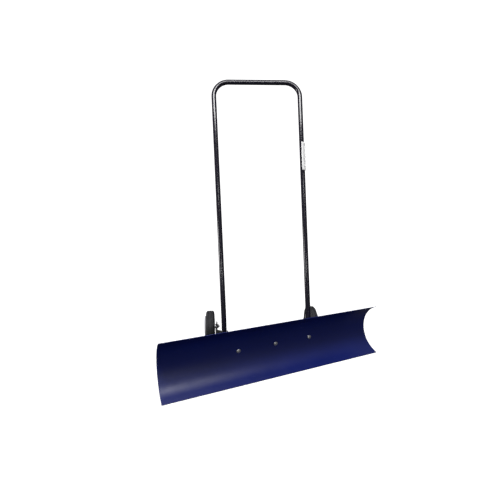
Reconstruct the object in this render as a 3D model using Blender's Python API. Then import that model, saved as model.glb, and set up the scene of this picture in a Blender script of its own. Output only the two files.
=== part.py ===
"""Wheeled snow shovel: a curved blade that angles in front of a two-wheeled frame with a U-shaped handle.

The frame is laid out with the blade's pivot bolt over x = 0, y = 0 and the ground at z = 0. The blade is
ahead (-Y), the wheels and the person who pushes are behind (+Y). At the end the whole object is moved so
that the centre of its footprint is on the origin.
"""

import math

import bmesh
import bpy
from mathutils import Matrix, Vector

GAP = 0.0003
PLATE = 0.005

# Curved blade: an upper and a lower arc that meet at the rearmost line, and a straight lip at the bottom.
BLADE_WIDTH = 0.914
SHEET = 0.0022
UPPER_RADIUS = 0.107
LOWER_RADIUS = 0.100
UPPER_ANGLE = math.radians(71.0)
LOWER_ANGLE = math.radians(63.5)
LIP_LENGTH = 0.0235
ARC_STEPS = 11
BLADE_YAW = math.radians(20.0)
PIVOT_TO_BLADE = 0.055
REAR_LINE_HEIGHT = (LOWER_RADIUS + SHEET / 2) * math.sin(LOWER_ANGLE) + LIP_LENGTH * math.cos(LOWER_ANGLE)

# Saddle, swivel plate and the three bolts that hold the blade.
BLADE_BOLT_SPACING = 0.1585
BLADE_BOLT_ANGLE = math.radians(-2.3)
SADDLE_THICKNESS = 0.004
SADDLE_LENGTH = 2 * BLADE_BOLT_SPACING + 0.044
SADDLE_ANGLES = (math.radians(-18.0), math.radians(10.5))
SWIVEL_LOW = 0.0755
SWIVEL_GAP = 0.0006
SWIVEL_FRONT_X = 0.08
SLOT_RADIUS = 0.105
SLOT_ANGLE = BLADE_YAW + math.radians(0.5)
SLOT_HALF_WIDTH = 0.0045
SWIVEL_RIM = 0.018
SWIVEL_SPREAD = math.radians(30.0)
PIVOT_PLATE_LOW = SWIVEL_LOW + PLATE + SWIVEL_GAP
PIVOT_PLATE_RADIUS = 0.024
STRAP_LOW = PIVOT_PLATE_LOW + PLATE + GAP
STRAP_TOP = 0.119
STRAP_BEND = 0.010
STRAP_HALF_WIDTH = 0.019

# U-shaped handle: one bent tube that leans back, upright across its mounting length, then slightly flared.
TUBE_RADIUS = 0.011
TUBE_WALL = 0.0015
LEAN = math.radians(10.0)
HANDLE_HEIGHT = 1.218
FOOT_HEIGHT = 0.055
HANDLE_LENGTH = (HANDLE_HEIGHT - FOOT_HEIGHT) / math.cos(LEAN)
LEG_FOOT_X = 0.182
LEG_TOP_X = 0.199
LEG_Y_AT_BLADE = 0.052
STRAIGHT_FOOT = 0.12
BEND_RADIUS = 0.068
BEND_STEPS = 8
LABEL_SPAN = (0.763, 0.893)
LABEL_THICKNESS = 0.0003
LABEL_TAB = 0.006
LABEL_FRONT = math.radians(-110.0)
LABEL_BACK = math.radians(70.0)

# Wheels and the arms that carry them behind the legs.
WHEEL_RADIUS = 0.076
WHEEL_WIDTH = 0.039
WHEEL_HALF = WHEEL_WIDTH / 2
RIM_RADIUS = 0.052
RIM_PROUD = 0.007
HUB_SINK = 0.002
HUB_RADIUS = 0.016
HUB_BORE = 0.0078
SLEEVE_RADIUS = 0.0075
SPACER_RADIUS = 0.0110
WEB_HALF = 0.004
WEB_EDGE = 0.041
WHEEL_X = 0.2498
AXLE_Y = 0.272
ARM_THICKNESS = 0.005
ARM_LEG_X = LEG_FOOT_X + TUBE_RADIUS + GAP + ARM_THICKNESS / 2
ARM_WHEEL_X = 0.219
ARM_FRONT_MARGIN = 0.016
LEG_BOLT_HEIGHTS = (0.072, 0.104)
FRAME_SPAN = 0.46


# Fastener sizes: radii and heights, and the distance across the flats of heads and nuts.
def fastener(shaft, flats, head, nut, washer, washer_height):
    return {
        "shaft": shaft,
        "flats": flats,
        "head": head,
        "nut": nut,
        "washer": washer,
        "washer_height": washer_height,
    }


M8 = fastener(0.0040, 0.013, 0.0053, 0.0066, 0.0080, 0.0016)
M10 = fastener(0.0050, 0.017, 0.0064, 0.0084, 0.0100, 0.0020)
M12 = fastener(0.0060, 0.019, 0.0075, 0.0100, 0.0120, 0.0025)
DOME_RADIUS = 0.0090
DOME_HEIGHT = 0.0045
DOME_RIM = 0.0006
DOME_STEPS = (0.18, 0.45, 0.75, 1.0)
CLAMP_THREAD = 0.016
PLUG_LENGTH = 0.010
PLUG_CAP = 0.004
FASTENER_SIDES = 12

# Star knob: radius, depth of its lobes and height, from the foot to the top.
KNOB_PROFILE = [
    (0.012, 0.0, 0.0),
    (0.012, 0.0, 0.005),
    (0.018, 0.0025, 0.007),
    (0.019, 0.0030, 0.018),
    (0.015, 0.0020, 0.021),
]

ALONG_X = (0.0, math.radians(90.0), 0.0)
ALONG_MINUS_X = (0.0, math.radians(-90.0), 0.0)
DOWNWARD = (math.radians(180.0), 0.0, 0.0)

MATERIALS = {
    "navy_paint": ((0.012, 0.016, 0.105), 0.34, 0.0),
    "black_gloss_paint": ((0.012, 0.012, 0.016), 0.22, 0.0),
    "black_frame_paint": ((0.020, 0.020, 0.022), 0.45, 0.0),
    "zinc": ((0.62, 0.62, 0.64), 0.32, 1.0),
    "tyre_rubber": ((0.025, 0.025, 0.027), 0.75, 0.0),
    "rim_plastic": ((0.66, 0.66, 0.68), 0.42, 0.0),
    "black_plastic": ((0.018, 0.018, 0.019), 0.50, 0.0),
    "label_film": ((0.86, 0.86, 0.86), 0.45, 0.0),
}


def clear_scene():
    for item in list(bpy.data.objects):
        bpy.data.objects.remove(item, do_unlink=True)


def make_materials():
    made = {}
    for name, (colour, roughness, metallic) in MATERIALS.items():
        material = bpy.data.materials.new(name)
        material.use_nodes = True
        shader = material.node_tree.nodes["Principled BSDF"]
        shader.inputs["Base Color"].default_value = (*colour, 1.0)
        shader.inputs["Roughness"].default_value = roughness
        shader.inputs["Metallic"].default_value = metallic
        made[name] = material
    return made


def add_empty(name, location, parent=None, rotation=(0.0, 0.0, 0.0)):
    empty = bpy.data.objects.new(name, None)
    empty.location = location
    empty.rotation_euler = rotation
    empty.parent = parent
    bpy.context.scene.collection.objects.link(empty)
    return empty


def add_mesh(name, bm, material, parent, location=(0.0, 0.0, 0.0), rotation=(0.0, 0.0, 0.0), smooth=False):
    bmesh.ops.recalc_face_normals(bm, faces=bm.faces)
    mesh = bpy.data.meshes.new(name)
    bm.to_mesh(mesh)
    bm.free()
    if smooth:
        mesh.shade_smooth()
        mesh.set_sharp_from_angle(angle=math.radians(35.0))
    if material:
        mesh.materials.append(material)
    thing = bpy.data.objects.new(name, mesh)
    thing.location = location
    thing.rotation_euler = rotation
    thing.parent = parent
    bpy.context.scene.collection.objects.link(thing)
    return thing


def loft(rings, hollow=False):
    """A solid through rings of equally many points: capped at its ends, or closed on itself when hollow."""
    bm = bmesh.new()
    verts = [[bm.verts.new(point) for point in ring] for ring in rings]
    count = len(rings[0])
    last = len(verts) if hollow else len(verts) - 1
    for index in range(last):
        here = verts[index]
        there = verts[(index + 1) % len(verts)]
        for side in range(count):
            after = (side + 1) % count
            bm.faces.new((here[side], here[after], there[after], there[side]))
    if not hollow:
        bm.faces.new(verts[0])
        bm.faces.new(verts[-1])
    return bm


def circle(radius, height, sides=FASTENER_SIDES):
    turns = [2 * math.pi * k / sides for k in range(sides)]
    return [(radius * math.cos(t), radius * math.sin(t), height) for t in turns]


def hexagon(flats, height, sides=FASTENER_SIDES):
    """A hexagon with a point in the middle of each side, so that it pairs with a twelve-sided circle."""
    ring = []
    for k in range(sides):
        turn = 2 * math.pi * k / sides
        radius = flats / 2 if k % 2 else flats / 2 / math.cos(math.radians(30.0))
        ring.append((radius * math.cos(turn), radius * math.sin(turn), height))
    return ring


def add_cutter(name, bm, parent, location=(0.0, 0.0, 0.0), rotation=(0.0, 0.0, 0.0)):
    cutter = add_mesh(name, bm, None, parent, location, rotation)
    cutter.hide_render = True
    cutter.display_type = "WIRE"
    return cutter


def rod_cutter(name, radius, length, parent, location, rotation=(0.0, 0.0, 0.0), sides=FASTENER_SIDES):
    rings = [circle(radius, -length / 2, sides), circle(radius, length / 2, sides)]
    return add_cutter(name, loft(rings), parent, location, rotation)


def cut(thing, *cutters):
    for cutter in cutters:
        modifier = thing.modifiers.new(cutter.name, "BOOLEAN")
        modifier.operation = "DIFFERENCE"
        modifier.object = cutter


def hex_bolt(name, size, length, material, parent, location, rotation):
    """The underside of the head is at the origin and the shaft runs along local +Z."""
    rings = [
        hexagon(size["flats"], -size["head"]),
        hexagon(size["flats"], 0.0),
        circle(size["shaft"], 0.0),
        circle(size["shaft"], length),
    ]
    return add_mesh(name, loft(rings), material, parent, location, rotation)


def dome_bolt(name, length, material, parent, location, rotation):
    """A carriage bolt: a round domed head whose underside is at the origin, and a shaft along local +Z."""
    rings = []
    for step in DOME_STEPS:
        turn = step * math.pi / 2
        rings.append(circle(DOME_RADIUS * math.sin(turn), -DOME_HEIGHT * math.cos(turn) - DOME_RIM))
    rings.append(circle(DOME_RADIUS, 0.0))
    rings.append(circle(M8["shaft"], 0.0))
    rings.append(circle(M8["shaft"], length))
    return add_mesh(name, loft(rings), material, parent, location, rotation, smooth=True)


def lock_nut(name, size, material, parent, location, rotation):
    """A nut that runs from the origin along local +Z."""
    bore = size["shaft"] + GAP
    height = size["nut"]
    rings = [hexagon(size["flats"], 0.0), hexagon(size["flats"], height)]
    rings += [circle(bore, height), circle(bore, 0.0)]
    return add_mesh(name, loft(rings, hollow=True), material, parent, location, rotation)


def collar(name, outer, inner, height, material, parent, location, rotation=(0.0, 0.0, 0.0), sides=16):
    """A washer, spacer or sleeve that runs from the origin along local +Z."""
    rings = [circle(outer, 0.0, sides), circle(outer, height, sides)]
    rings += [circle(inner, height, sides), circle(inner, 0.0, sides)]
    return add_mesh(name, loft(rings, hollow=True), material, parent, location, rotation, smooth=True)


def arc_station(angle, offset):
    """Depth and height of the blade's section at an angle above its rearmost line, offset backwards."""
    radius = UPPER_RADIUS if angle > 0 else LOWER_RADIUS
    depth = -PIVOT_TO_BLADE - radius + (radius + offset) * math.cos(angle)
    return depth, REAR_LINE_HEIGHT + (radius + offset) * math.sin(angle)


def lip_station(offset):
    """The bottom edge of the blade, straight on from the lower arc."""
    depth, height = arc_station(-LOWER_ANGLE, offset)
    return depth - LIP_LENGTH * math.sin(LOWER_ANGLE), height - LIP_LENGTH * math.cos(LOWER_ANGLE)


def curved_strip(angles, front_offset, back_offset, width, with_lip=False):
    """A strip of sheet that follows the blade's section and is straight along the blade's width."""
    sections = [(arc_station(a, front_offset), arc_station(a, back_offset)) for a in angles]
    if with_lip:
        sections.insert(0, (lip_station(front_offset), lip_station(back_offset)))
    rings = []
    for (front_y, front_z), (back_y, back_z) in sections:
        ring = [(-width / 2, front_y, front_z), (width / 2, front_y, front_z)]
        ring += [(width / 2, back_y, back_z), (-width / 2, back_y, back_z)]
        rings.append(ring)
    return loft(rings)


def spread(low, high, steps):
    return [low + (high - low) * k / steps for k in range(steps + 1)]


def add_blade(materials, pivot):
    lower = spread(-LOWER_ANGLE, 0.0, ARC_STEPS)
    upper = spread(0.0, UPPER_ANGLE, ARC_STEPS + 1)[1:]
    sheet = curved_strip(lower + upper, -SHEET / 2, SHEET / 2, BLADE_WIDTH, with_lip=True)
    blade = add_mesh("blade", sheet, materials["navy_paint"], pivot, smooth=True)
    inner = SHEET / 2 + GAP
    strip = curved_strip(spread(*SADDLE_ANGLES, 5), inner, inner + SADDLE_THICKNESS, SADDLE_LENGTH)
    saddle = add_mesh("blade_saddle", strip, materials["black_frame_paint"], pivot, smooth=True)
    for name, x in (("left", -BLADE_BOLT_SPACING), ("middle", 0.0), ("right", BLADE_BOLT_SPACING)):
        place = (x, *arc_station(BLADE_BOLT_ANGLE, 0.0))
        square = (BLADE_BOLT_ANGLE - math.radians(90.0), 0.0, 0.0)
        hole = rod_cutter(f"cut_{name}_blade_hole", M8["shaft"] + GAP, 0.03, pivot, place, square)
        cut(blade, hole)
        cut(saddle, hole)
        add_blade_fastener(name, x, materials["zinc"], pivot)


def add_blade_fastener(name, x, zinc, pivot):
    """A carriage bolt square to the sheet, with its washer and nut behind the saddle."""
    front = -SHEET / 2 - 0.0007
    washer = SHEET / 2 + SADDLE_THICKNESS + 2 * GAP
    nut = washer + M8["washer_height"] + GAP
    length = nut + M8["nut"] + 0.002 - front
    bore = M8["shaft"] + GAP
    rotation = (BLADE_BOLT_ANGLE - math.radians(90.0), 0.0, 0.0)

    def place(offset):
        return (x, *arc_station(BLADE_BOLT_ANGLE, offset))

    dome_bolt(f"{name}_blade_bolt", length, zinc, pivot, place(front), rotation)
    height = M8["washer_height"]
    collar(f"{name}_blade_washer", M8["washer"], bore, height, zinc, pivot, place(washer), rotation)
    lock_nut(f"{name}_blade_nut", M8, zinc, pivot, place(nut), rotation)


def saddle_back(height):
    """Depth of the saddle's back face at a height below the rearmost line."""
    radius = LOWER_RADIUS + SHEET / 2 + GAP + SADDLE_THICKNESS
    drop = REAR_LINE_HEIGHT - height
    return -PIVOT_TO_BLADE - LOWER_RADIUS + math.sqrt(radius * radius - drop * drop)


def sector(inner, outer, half_angle, low, high, steps):
    """A ring segment about the pivot, symmetric about local +Y."""
    turns = spread(math.pi / 2 - half_angle, math.pi / 2 + half_angle, steps)
    rings = []
    for turn in turns:
        x, y = math.cos(turn), math.sin(turn)
        ring = [(inner * x, inner * y, low), (outer * x, outer * y, low)]
        ring += [(outer * x, outer * y, high), (inner * x, inner * y, high)]
        rings.append(ring)
    return loft(rings)


def add_swivel_plate(materials, pivot):
    front = saddle_back(SWIVEL_LOW + PLATE) + GAP
    rim = SLOT_RADIUS + SWIVEL_RIM
    outline = [(-SWIVEL_FRONT_X, front), (SWIVEL_FRONT_X, front)]
    for turn in spread(math.pi / 2 - SWIVEL_SPREAD, math.pi / 2 + SWIVEL_SPREAD, 10):
        outline.append((rim * math.cos(turn), rim * math.sin(turn)))
    rings = [[(x, y, z) for x, y in outline] for z in (SWIVEL_LOW, SWIVEL_LOW + PLATE)]
    plate = add_mesh("swivel_plate", loft(rings), materials["black_frame_paint"], pivot)
    low, high = SWIVEL_LOW - PLATE, SWIVEL_LOW + 2 * PLATE
    shape = sector(SLOT_RADIUS - SLOT_HALF_WIDTH, SLOT_RADIUS + SLOT_HALF_WIDTH, SLOT_ANGLE, low, high, 10)
    cutters = [add_cutter("cut_slot", shape, pivot)]
    for name, turn in (("left", SLOT_ANGLE), ("right", -SLOT_ANGLE)):
        place = (-SLOT_RADIUS * math.sin(turn), SLOT_RADIUS * math.cos(turn), SWIVEL_LOW)
        end = rod_cutter(f"cut_slot_{name}_end", SLOT_HALF_WIDTH, 4 * PLATE, pivot, place, sides=16)
        cutters.append(end)
    place = (0.0, 0.0, SWIVEL_LOW)
    cutters.append(rod_cutter("cut_swivel_hole", M12["shaft"] + GAP, 4 * PLATE, pivot, place, sides=16))
    cut(plate, *cutters)


def add_pivot_plate(materials, frame):
    """A plate with round ends that holds the pivot bolt at the front and the clamp bolt at the back."""
    outline = []
    for centre, start in ((SLOT_RADIUS, 0.0), (0.0, math.pi)):
        for turn in spread(start, start + math.pi, 8):
            x = PIVOT_PLATE_RADIUS * math.cos(turn)
            outline.append((x, centre + PIVOT_PLATE_RADIUS * math.sin(turn)))
    rings = [[(x, y, z) for x, y in outline] for z in (PIVOT_PLATE_LOW, PIVOT_PLATE_LOW + PLATE)]
    plate = add_mesh("pivot_plate", loft(rings), materials["black_frame_paint"], frame)
    front = rod_cutter("cut_pivot_hole", M12["shaft"] + GAP, 4 * PLATE, frame, (0.0, 0.0, PIVOT_PLATE_LOW))
    place = (0.0, SLOT_RADIUS, PIVOT_PLATE_LOW)
    back = rod_cutter("cut_clamp_hole", M8["shaft"] + GAP, 4 * PLATE, frame, place)
    cut(plate, front, back)


def add_pivot_fasteners(materials, frame):
    zinc = materials["zinc"]
    top = PIVOT_PLATE_LOW + PLATE + GAP
    washer = SWIVEL_LOW - GAP
    nut = washer - M12["washer_height"] - GAP
    length = top - nut + M12["nut"] + 0.002
    bore = M12["shaft"] + GAP
    hex_bolt("pivot_bolt", M12, length, zinc, frame, (0.0, 0.0, top), DOWNWARD)
    place = (0.0, 0.0, washer)
    collar("pivot_washer", M12["washer"], bore, M12["washer_height"], zinc, frame, place, DOWNWARD)
    lock_nut("pivot_nut", M12, zinc, frame, (0.0, 0.0, nut), DOWNWARD)


def add_clamp(materials, frame):
    """The bolt and star knob that lock the swivel plate's slot to the pivot plate."""
    zinc = materials["zinc"]
    head = SWIVEL_LOW - GAP
    washer = PIVOT_PLATE_LOW + PLATE + GAP
    knob = washer + M8["washer_height"] + GAP
    bore = M8["shaft"] + GAP
    length = knob + CLAMP_THREAD - head
    dome_bolt("clamp_bolt", length, zinc, frame, (0.0, SLOT_RADIUS, head), (0.0, 0.0, 0.0))
    place = (0.0, SLOT_RADIUS, washer)
    collar("clamp_washer", M8["washer"], bore, M8["washer_height"], zinc, frame, place)
    axis = add_empty("knob_axis", (0.0, SLOT_RADIUS, knob), frame)
    rings = [lobed(radius, wave, height) for radius, wave, height in KNOB_PROFILE]
    top = KNOB_PROFILE[-1][2]
    rings += [lobed(bore, 0.0, top), lobed(bore, 0.0, 0.0)]
    add_mesh("clamp_knob", loft(rings, hollow=True), materials["black_plastic"], axis, smooth=True)


def lobed(radius, wave, height, lobes=6, sides=24):
    ring = []
    for k in range(sides):
        turn = 2 * math.pi * k / sides
        reach = radius + wave * math.cos(lobes * turn)
        ring.append((reach * math.cos(turn), reach * math.sin(turn), height))
    return ring


def leg_y(height):
    """Where a leg's centre line is at a height, before the handle's bends."""
    return LEG_Y_AT_BLADE + (height - REAR_LINE_HEIGHT) * math.tan(LEAN)


def leg_flare():
    """How far each leg splays outwards above its straight foot."""
    return math.atan2(LEG_TOP_X - LEG_FOOT_X, HANDLE_LENGTH - STRAIGHT_FOOT)


def handle_path():
    """Centre line from the left foot over the top to the right foot, in the handle's own leaning plane."""
    flare = leg_flare()
    reach = BEND_RADIUS * math.tan((math.pi / 2 + flare) / 2)
    centre = Vector((reach - LEG_TOP_X, 0.0, HANDLE_LENGTH - BEND_RADIUS))
    left = [Vector((-LEG_FOOT_X, 0.0, 0.0)), Vector((-LEG_FOOT_X, 0.0, STRAIGHT_FOOT))]
    for turn in spread(math.pi + flare, math.pi / 2, BEND_STEPS):
        left.append(centre + Vector((math.cos(turn), 0.0, math.sin(turn))) * BEND_RADIUS)
    right = [Vector((-p.x, p.y, p.z)) for p in reversed(left)]
    return left + right


def tube_ring(path, index, radius, sides):
    """A ring across the path, mitred at its bends and with a corner of the ring in the path's plane."""
    before = path[max(index - 1, 0)]
    after = path[min(index + 1, len(path) - 1)]
    arriving = (path[index] - before).normalized()
    leaving = (after - path[index]).normalized()
    along = (arriving + leaving).normalized()
    stretch = 1.0 / max(along.dot(arriving), along.dot(leaving))
    outward = Vector((0.0, 1.0, 0.0))
    across = outward.cross(along) * stretch
    ring = []
    for k in range(sides):
        turn = 2 * math.pi * k / sides
        ring.append(path[index] + (across * math.cos(turn) + outward * math.sin(turn)) * radius)
    return ring


def add_handle(materials, frame):
    path = handle_path()
    sides = 20
    indices = range(len(path))
    outer = [tube_ring(path, k, TUBE_RADIUS, sides) for k in indices]
    inner = [tube_ring(path, k, TUBE_RADIUS - TUBE_WALL, sides) for k in reversed(indices)]
    bm = loft(outer + inner, hollow=True)
    foot = (0.0, leg_y(FOOT_HEIGHT), FOOT_HEIGHT)
    paint = materials["black_gloss_paint"]
    handle = add_mesh("handle", bm, paint, frame, foot, (-LEAN, 0.0, 0.0), smooth=True)
    for side, name in ((-1, "left"), (1, "right")):
        add_leg_plug(name, side, materials["black_plastic"], frame, foot)
    add_label(materials["label_film"], frame, foot)
    return handle


def add_leg_plug(name, side, plastic, frame, foot):
    """A cap on the open end of a leg, with a stem inside the tube."""
    stem = TUBE_RADIUS - TUBE_WALL - GAP
    profile = [(TUBE_RADIUS * 0.8, -PLUG_CAP), (TUBE_RADIUS, -PLUG_CAP / 2), (TUBE_RADIUS, -GAP)]
    profile += [(stem, -GAP), (stem, PLUG_LENGTH)]
    rings = [circle(radius, height, 16) for radius, height in profile]
    place = Vector(foot) + Vector((side * LEG_FOOT_X, 0.0, 0.0))
    add_mesh(f"{name}_leg_plug", loft(rings), plastic, frame, place, (-LEAN, 0.0, 0.0), smooth=True)


def add_label(film, frame, foot):
    """A blank flag label on the right leg: it wraps the front and outer side, and its ends make a tab."""
    inner = TUBE_RADIUS + GAP
    outer = inner + LABEL_THICKNESS
    tab_angle = math.asin(LABEL_THICKNESS / outer)
    outline = [(inner * math.cos(t), inner * math.sin(t)) for t in spread(LABEL_FRONT, LABEL_BACK, 12)]
    for start, end in ((LABEL_BACK, tab_angle), (-tab_angle, LABEL_FRONT)):
        outline += [(outer * math.cos(t), outer * math.sin(t)) for t in spread(start, end, 6)]
        if start == LABEL_BACK:
            outline += [(outer + LABEL_TAB, LABEL_THICKNESS), (outer + LABEL_TAB, -LABEL_THICKNESS)]
    rings = [[(x, y, z) for x, y in outline] for z in LABEL_SPAN]
    bm = loft(rings)
    to_kink = Matrix.Translation((0.0, 0.0, STRAIGHT_FOOT))
    bm.transform(to_kink @ Matrix.Rotation(leg_flare(), 4, "Y") @ to_kink.inverted())
    place = Vector(foot) + Vector((LEG_FOOT_X, 0.0, 0.0))
    add_mesh("blank_label", bm, film, frame, place, (-LEAN, 0.0, 0.0))


def strap_rings(stations, front, back):
    """Rings for a flat strap bent in the X-Z plane; each station is its outer and inner point."""
    rings = []
    for (outer_x, outer_z), (inner_x, inner_z) in stations:
        ring = [(outer_x, front, outer_z), (inner_x, front, inner_z)]
        ring += [(inner_x, back, inner_z), (outer_x, back, outer_z)]
        rings.append(ring)
    return rings


def add_cross_strap(materials, frame):
    """A flat bar between the legs, with its ends turned up against their inner sides."""
    end = LEG_FOOT_X - TUBE_RADIUS - GAP
    centre_x = -end + STRAP_BEND
    centre_z = STRAP_LOW + STRAP_BEND
    left = [((-end, STRAP_TOP), (-end + PLATE, STRAP_TOP))]
    for turn in spread(math.pi, 1.5 * math.pi, 4):
        ends = []
        for radius in (STRAP_BEND, STRAP_BEND - PLATE):
            ends.append((centre_x + radius * math.cos(turn), centre_z + radius * math.sin(turn)))
        left.append(tuple(ends))
    right = [((-a, b), (-c, d)) for (a, b), (c, d) in reversed(left)]
    middle = leg_y(LEG_BOLT_HEIGHTS[1])
    bm = loft(strap_rings(left + right, middle - STRAP_HALF_WIDTH, middle + STRAP_HALF_WIDTH))
    return add_mesh("cross_strap", bm, materials["black_frame_paint"], frame)


def arm_stations():
    """Depth, sideways centre, bottom and top of a wheel arm, from its front end to its rear end."""
    front = leg_y(LEG_BOLT_HEIGHTS[0]) - ARM_FRONT_MARGIN
    return [
        (front, ARM_LEG_X, 0.064, 0.112),
        (front + 0.006, ARM_LEG_X, 0.058, 0.118),
        (front + 0.042, ARM_LEG_X, 0.058, 0.118),
        (front + 0.052, ARM_LEG_X + 0.001, 0.057, 0.116),
        (front + 0.098, ARM_WHEEL_X - 0.001, 0.055, 0.106),
        (front + 0.108, ARM_WHEEL_X, 0.055, 0.104),
        (AXLE_Y + 0.012, ARM_WHEEL_X, 0.055, 0.097),
        (AXLE_Y + 0.020, ARM_WHEEL_X, 0.062, 0.090),
    ]


def add_wheel_arm(name, side, materials, frame):
    rings = []
    for depth, middle, low, high in arm_stations():
        inner = side * (middle - ARM_THICKNESS / 2)
        outer = side * (middle + ARM_THICKNESS / 2)
        rings.append([(inner, depth, low), (outer, depth, low), (outer, depth, high), (inner, depth, high)])
    return add_mesh(f"{name}_wheel_arm", loft(rings), materials["black_frame_paint"], frame)


def add_leg_fasteners(name, side, zinc, frame):
    """Two bolts from the wheel arm through the leg; the upper one also holds the cross strap."""
    head = LEG_FOOT_X + TUBE_RADIUS + ARM_THICKNESS + 2 * GAP
    inside_leg = LEG_FOOT_X - TUBE_RADIUS - GAP
    nuts = (inside_leg, inside_leg - PLATE - GAP)
    rotation = ALONG_MINUS_X if side > 0 else ALONG_X
    for level, height, nut in zip(("lower", "upper"), LEG_BOLT_HEIGHTS, nuts):
        length = head - nut + M8["nut"] + 0.002
        place = (side * head, leg_y(height), height)
        hex_bolt(f"{name}_{level}_leg_bolt", M8, length, zinc, frame, place, rotation)
        place = (side * nut, leg_y(height), height)
        lock_nut(f"{name}_{level}_leg_nut", M8, zinc, frame, place, rotation)


def add_axle(name, side, materials, frame):
    """The fixed bolt, sleeve, spacer, washer and nut that a wheel turns on."""
    zinc = materials["zinc"]
    rotation = ALONG_X if side > 0 else ALONG_MINUS_X
    inward = ALONG_MINUS_X if side > 0 else ALONG_X
    bore = M10["shaft"] + GAP
    arm_outside = ARM_WHEEL_X + ARM_THICKNESS / 2 + GAP
    wheel_inside = WHEEL_X - WHEEL_HALF
    spacer = wheel_inside - 2 * GAP - arm_outside
    sleeve = WHEEL_WIDTH - HUB_SINK
    washer = wheel_inside + sleeve + GAP
    head = washer + M10["washer_height"] + GAP
    nut = ARM_WHEEL_X - ARM_THICKNESS / 2 - GAP
    length = head - nut + M10["nut"] + 0.002

    def place(x):
        return (side * x, AXLE_Y, WHEEL_RADIUS)

    collar(f"{name}_axle_spacer", SPACER_RADIUS, bore, spacer, zinc, frame, place(arm_outside), rotation)
    collar(f"{name}_axle_sleeve", SLEEVE_RADIUS, bore, sleeve, zinc, frame, place(wheel_inside), rotation)
    height = M10["washer_height"]
    collar(f"{name}_axle_washer", M10["washer"], bore, height, zinc, frame, place(washer), rotation)
    hex_bolt(f"{name}_axle_bolt", M10, length, zinc, frame, place(head), inward)
    lock_nut(f"{name}_axle_nut", M10, zinc, frame, place(nut), inward)


def tyre_profile():
    """(radius, depth) from the inner bead over the tread to the outer bead."""
    seat = RIM_RADIUS + GAP
    side = [(seat, -WHEEL_HALF + 0.004), (seat + 0.010, -WHEEL_HALF), (WHEEL_RADIUS - 0.006, -WHEEL_HALF)]
    side += [(WHEEL_RADIUS - 0.0015, -WHEEL_HALF + 0.004), (WHEEL_RADIUS, -WHEEL_HALF + 0.010)]
    return side + [(radius, -depth) for radius, depth in reversed(side)]


def rim_side(face, lip):
    """(radius, depth) of one face of the rim, from its bore to the tyre's seat."""
    return [
        (HUB_BORE, face),
        (HUB_RADIUS, face),
        (HUB_RADIUS + 0.001, WEB_HALF),
        (WEB_EDGE, WEB_HALF),
        (WEB_EDGE + 0.003, lip),
        (RIM_RADIUS - 0.002, lip),
        (RIM_RADIUS, lip - 0.003),
    ]


def add_wheel(name, side, materials, frame):
    """The rim stands proud of the tyre on the outside, where its hub is sunk to hide the bolt's head."""
    axle = add_empty(f"{name}_wheel_axle", (side * WHEEL_X, AXLE_Y, WHEEL_RADIUS), frame, ALONG_X)
    rings = [circle(radius, depth, 40) for radius, depth in tyre_profile()]
    add_mesh(f"{name}_tyre", loft(rings, hollow=True), materials["tyre_rubber"], axle, smooth=True)
    outer = rim_side(WHEEL_HALF - HUB_SINK - 0.0004, WHEEL_HALF + RIM_PROUD)
    inner = rim_side(WHEEL_HALF - 0.0004, WHEEL_HALF - 0.003)
    profile = [(radius, side * depth) for radius, depth in outer]
    profile += [(radius, -side * depth) for radius, depth in reversed(inner)]
    rings = [circle(radius, depth, 32) for radius, depth in profile]
    add_mesh(f"{name}_rim", loft(rings, hollow=True), materials["rim_plastic"], axle, smooth=True)


def drill_frame(frame, handle, strap, arms):
    """The cross holes for the leg bolts and the axle bolts."""
    for level, height in zip(("lower", "upper"), LEG_BOLT_HEIGHTS):
        place = (0.0, leg_y(height), height)
        hole = rod_cutter(f"cut_{level}_leg_holes", M8["shaft"] + GAP, FRAME_SPAN, frame, place, ALONG_X)
        cut(handle, hole)
        for arm in arms:
            cut(arm, hole)
        if level == "upper":
            cut(strap, hole)
    place = (0.0, AXLE_Y, WHEEL_RADIUS)
    hole = rod_cutter("cut_axle_holes", M10["shaft"] + GAP, FRAME_SPAN, frame, place, ALONG_X)
    for arm in arms:
        cut(arm, hole)


def centre_on_floor(frame):
    """Moves the whole object so that the centre of its footprint is on the origin."""
    bpy.context.view_layer.update()
    corners = []
    for thing in bpy.data.objects:
        if thing.type == "MESH" and not thing.hide_render:
            corners += [thing.matrix_world @ vertex.co for vertex in thing.data.vertices]
    middle_x = (min(c.x for c in corners) + max(c.x for c in corners)) / 2
    middle_y = (min(c.y for c in corners) + max(c.y for c in corners)) / 2
    frame.location = (-middle_x, -middle_y, -min(c.z for c in corners))


def main():
    clear_scene()
    materials = make_materials()
    frame = add_empty("shovel_frame", (0.0, 0.0, 0.0))
    pivot = add_empty("blade_pivot", (0.0, 0.0, 0.0), frame, (0.0, 0.0, BLADE_YAW))
    add_blade(materials, pivot)
    add_swivel_plate(materials, pivot)
    add_pivot_plate(materials, frame)
    add_pivot_fasteners(materials, frame)
    add_clamp(materials, frame)
    handle = add_handle(materials, frame)
    strap = add_cross_strap(materials, frame)
    arms = []
    for name, side in (("left", -1), ("right", 1)):
        arms.append(add_wheel_arm(name, side, materials, frame))
        add_leg_fasteners(name, side, materials["zinc"], frame)
        add_axle(name, side, materials, frame)
        add_wheel(name, side, materials, frame)
    drill_frame(frame, handle, strap, arms)
    centre_on_floor(frame)


main()
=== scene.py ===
"""Looks for the wheeled snow shovel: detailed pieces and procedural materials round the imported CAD."""

import math
from collections import namedtuple

import bmesh
import bpy
from mathutils import Matrix, Vector


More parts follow.
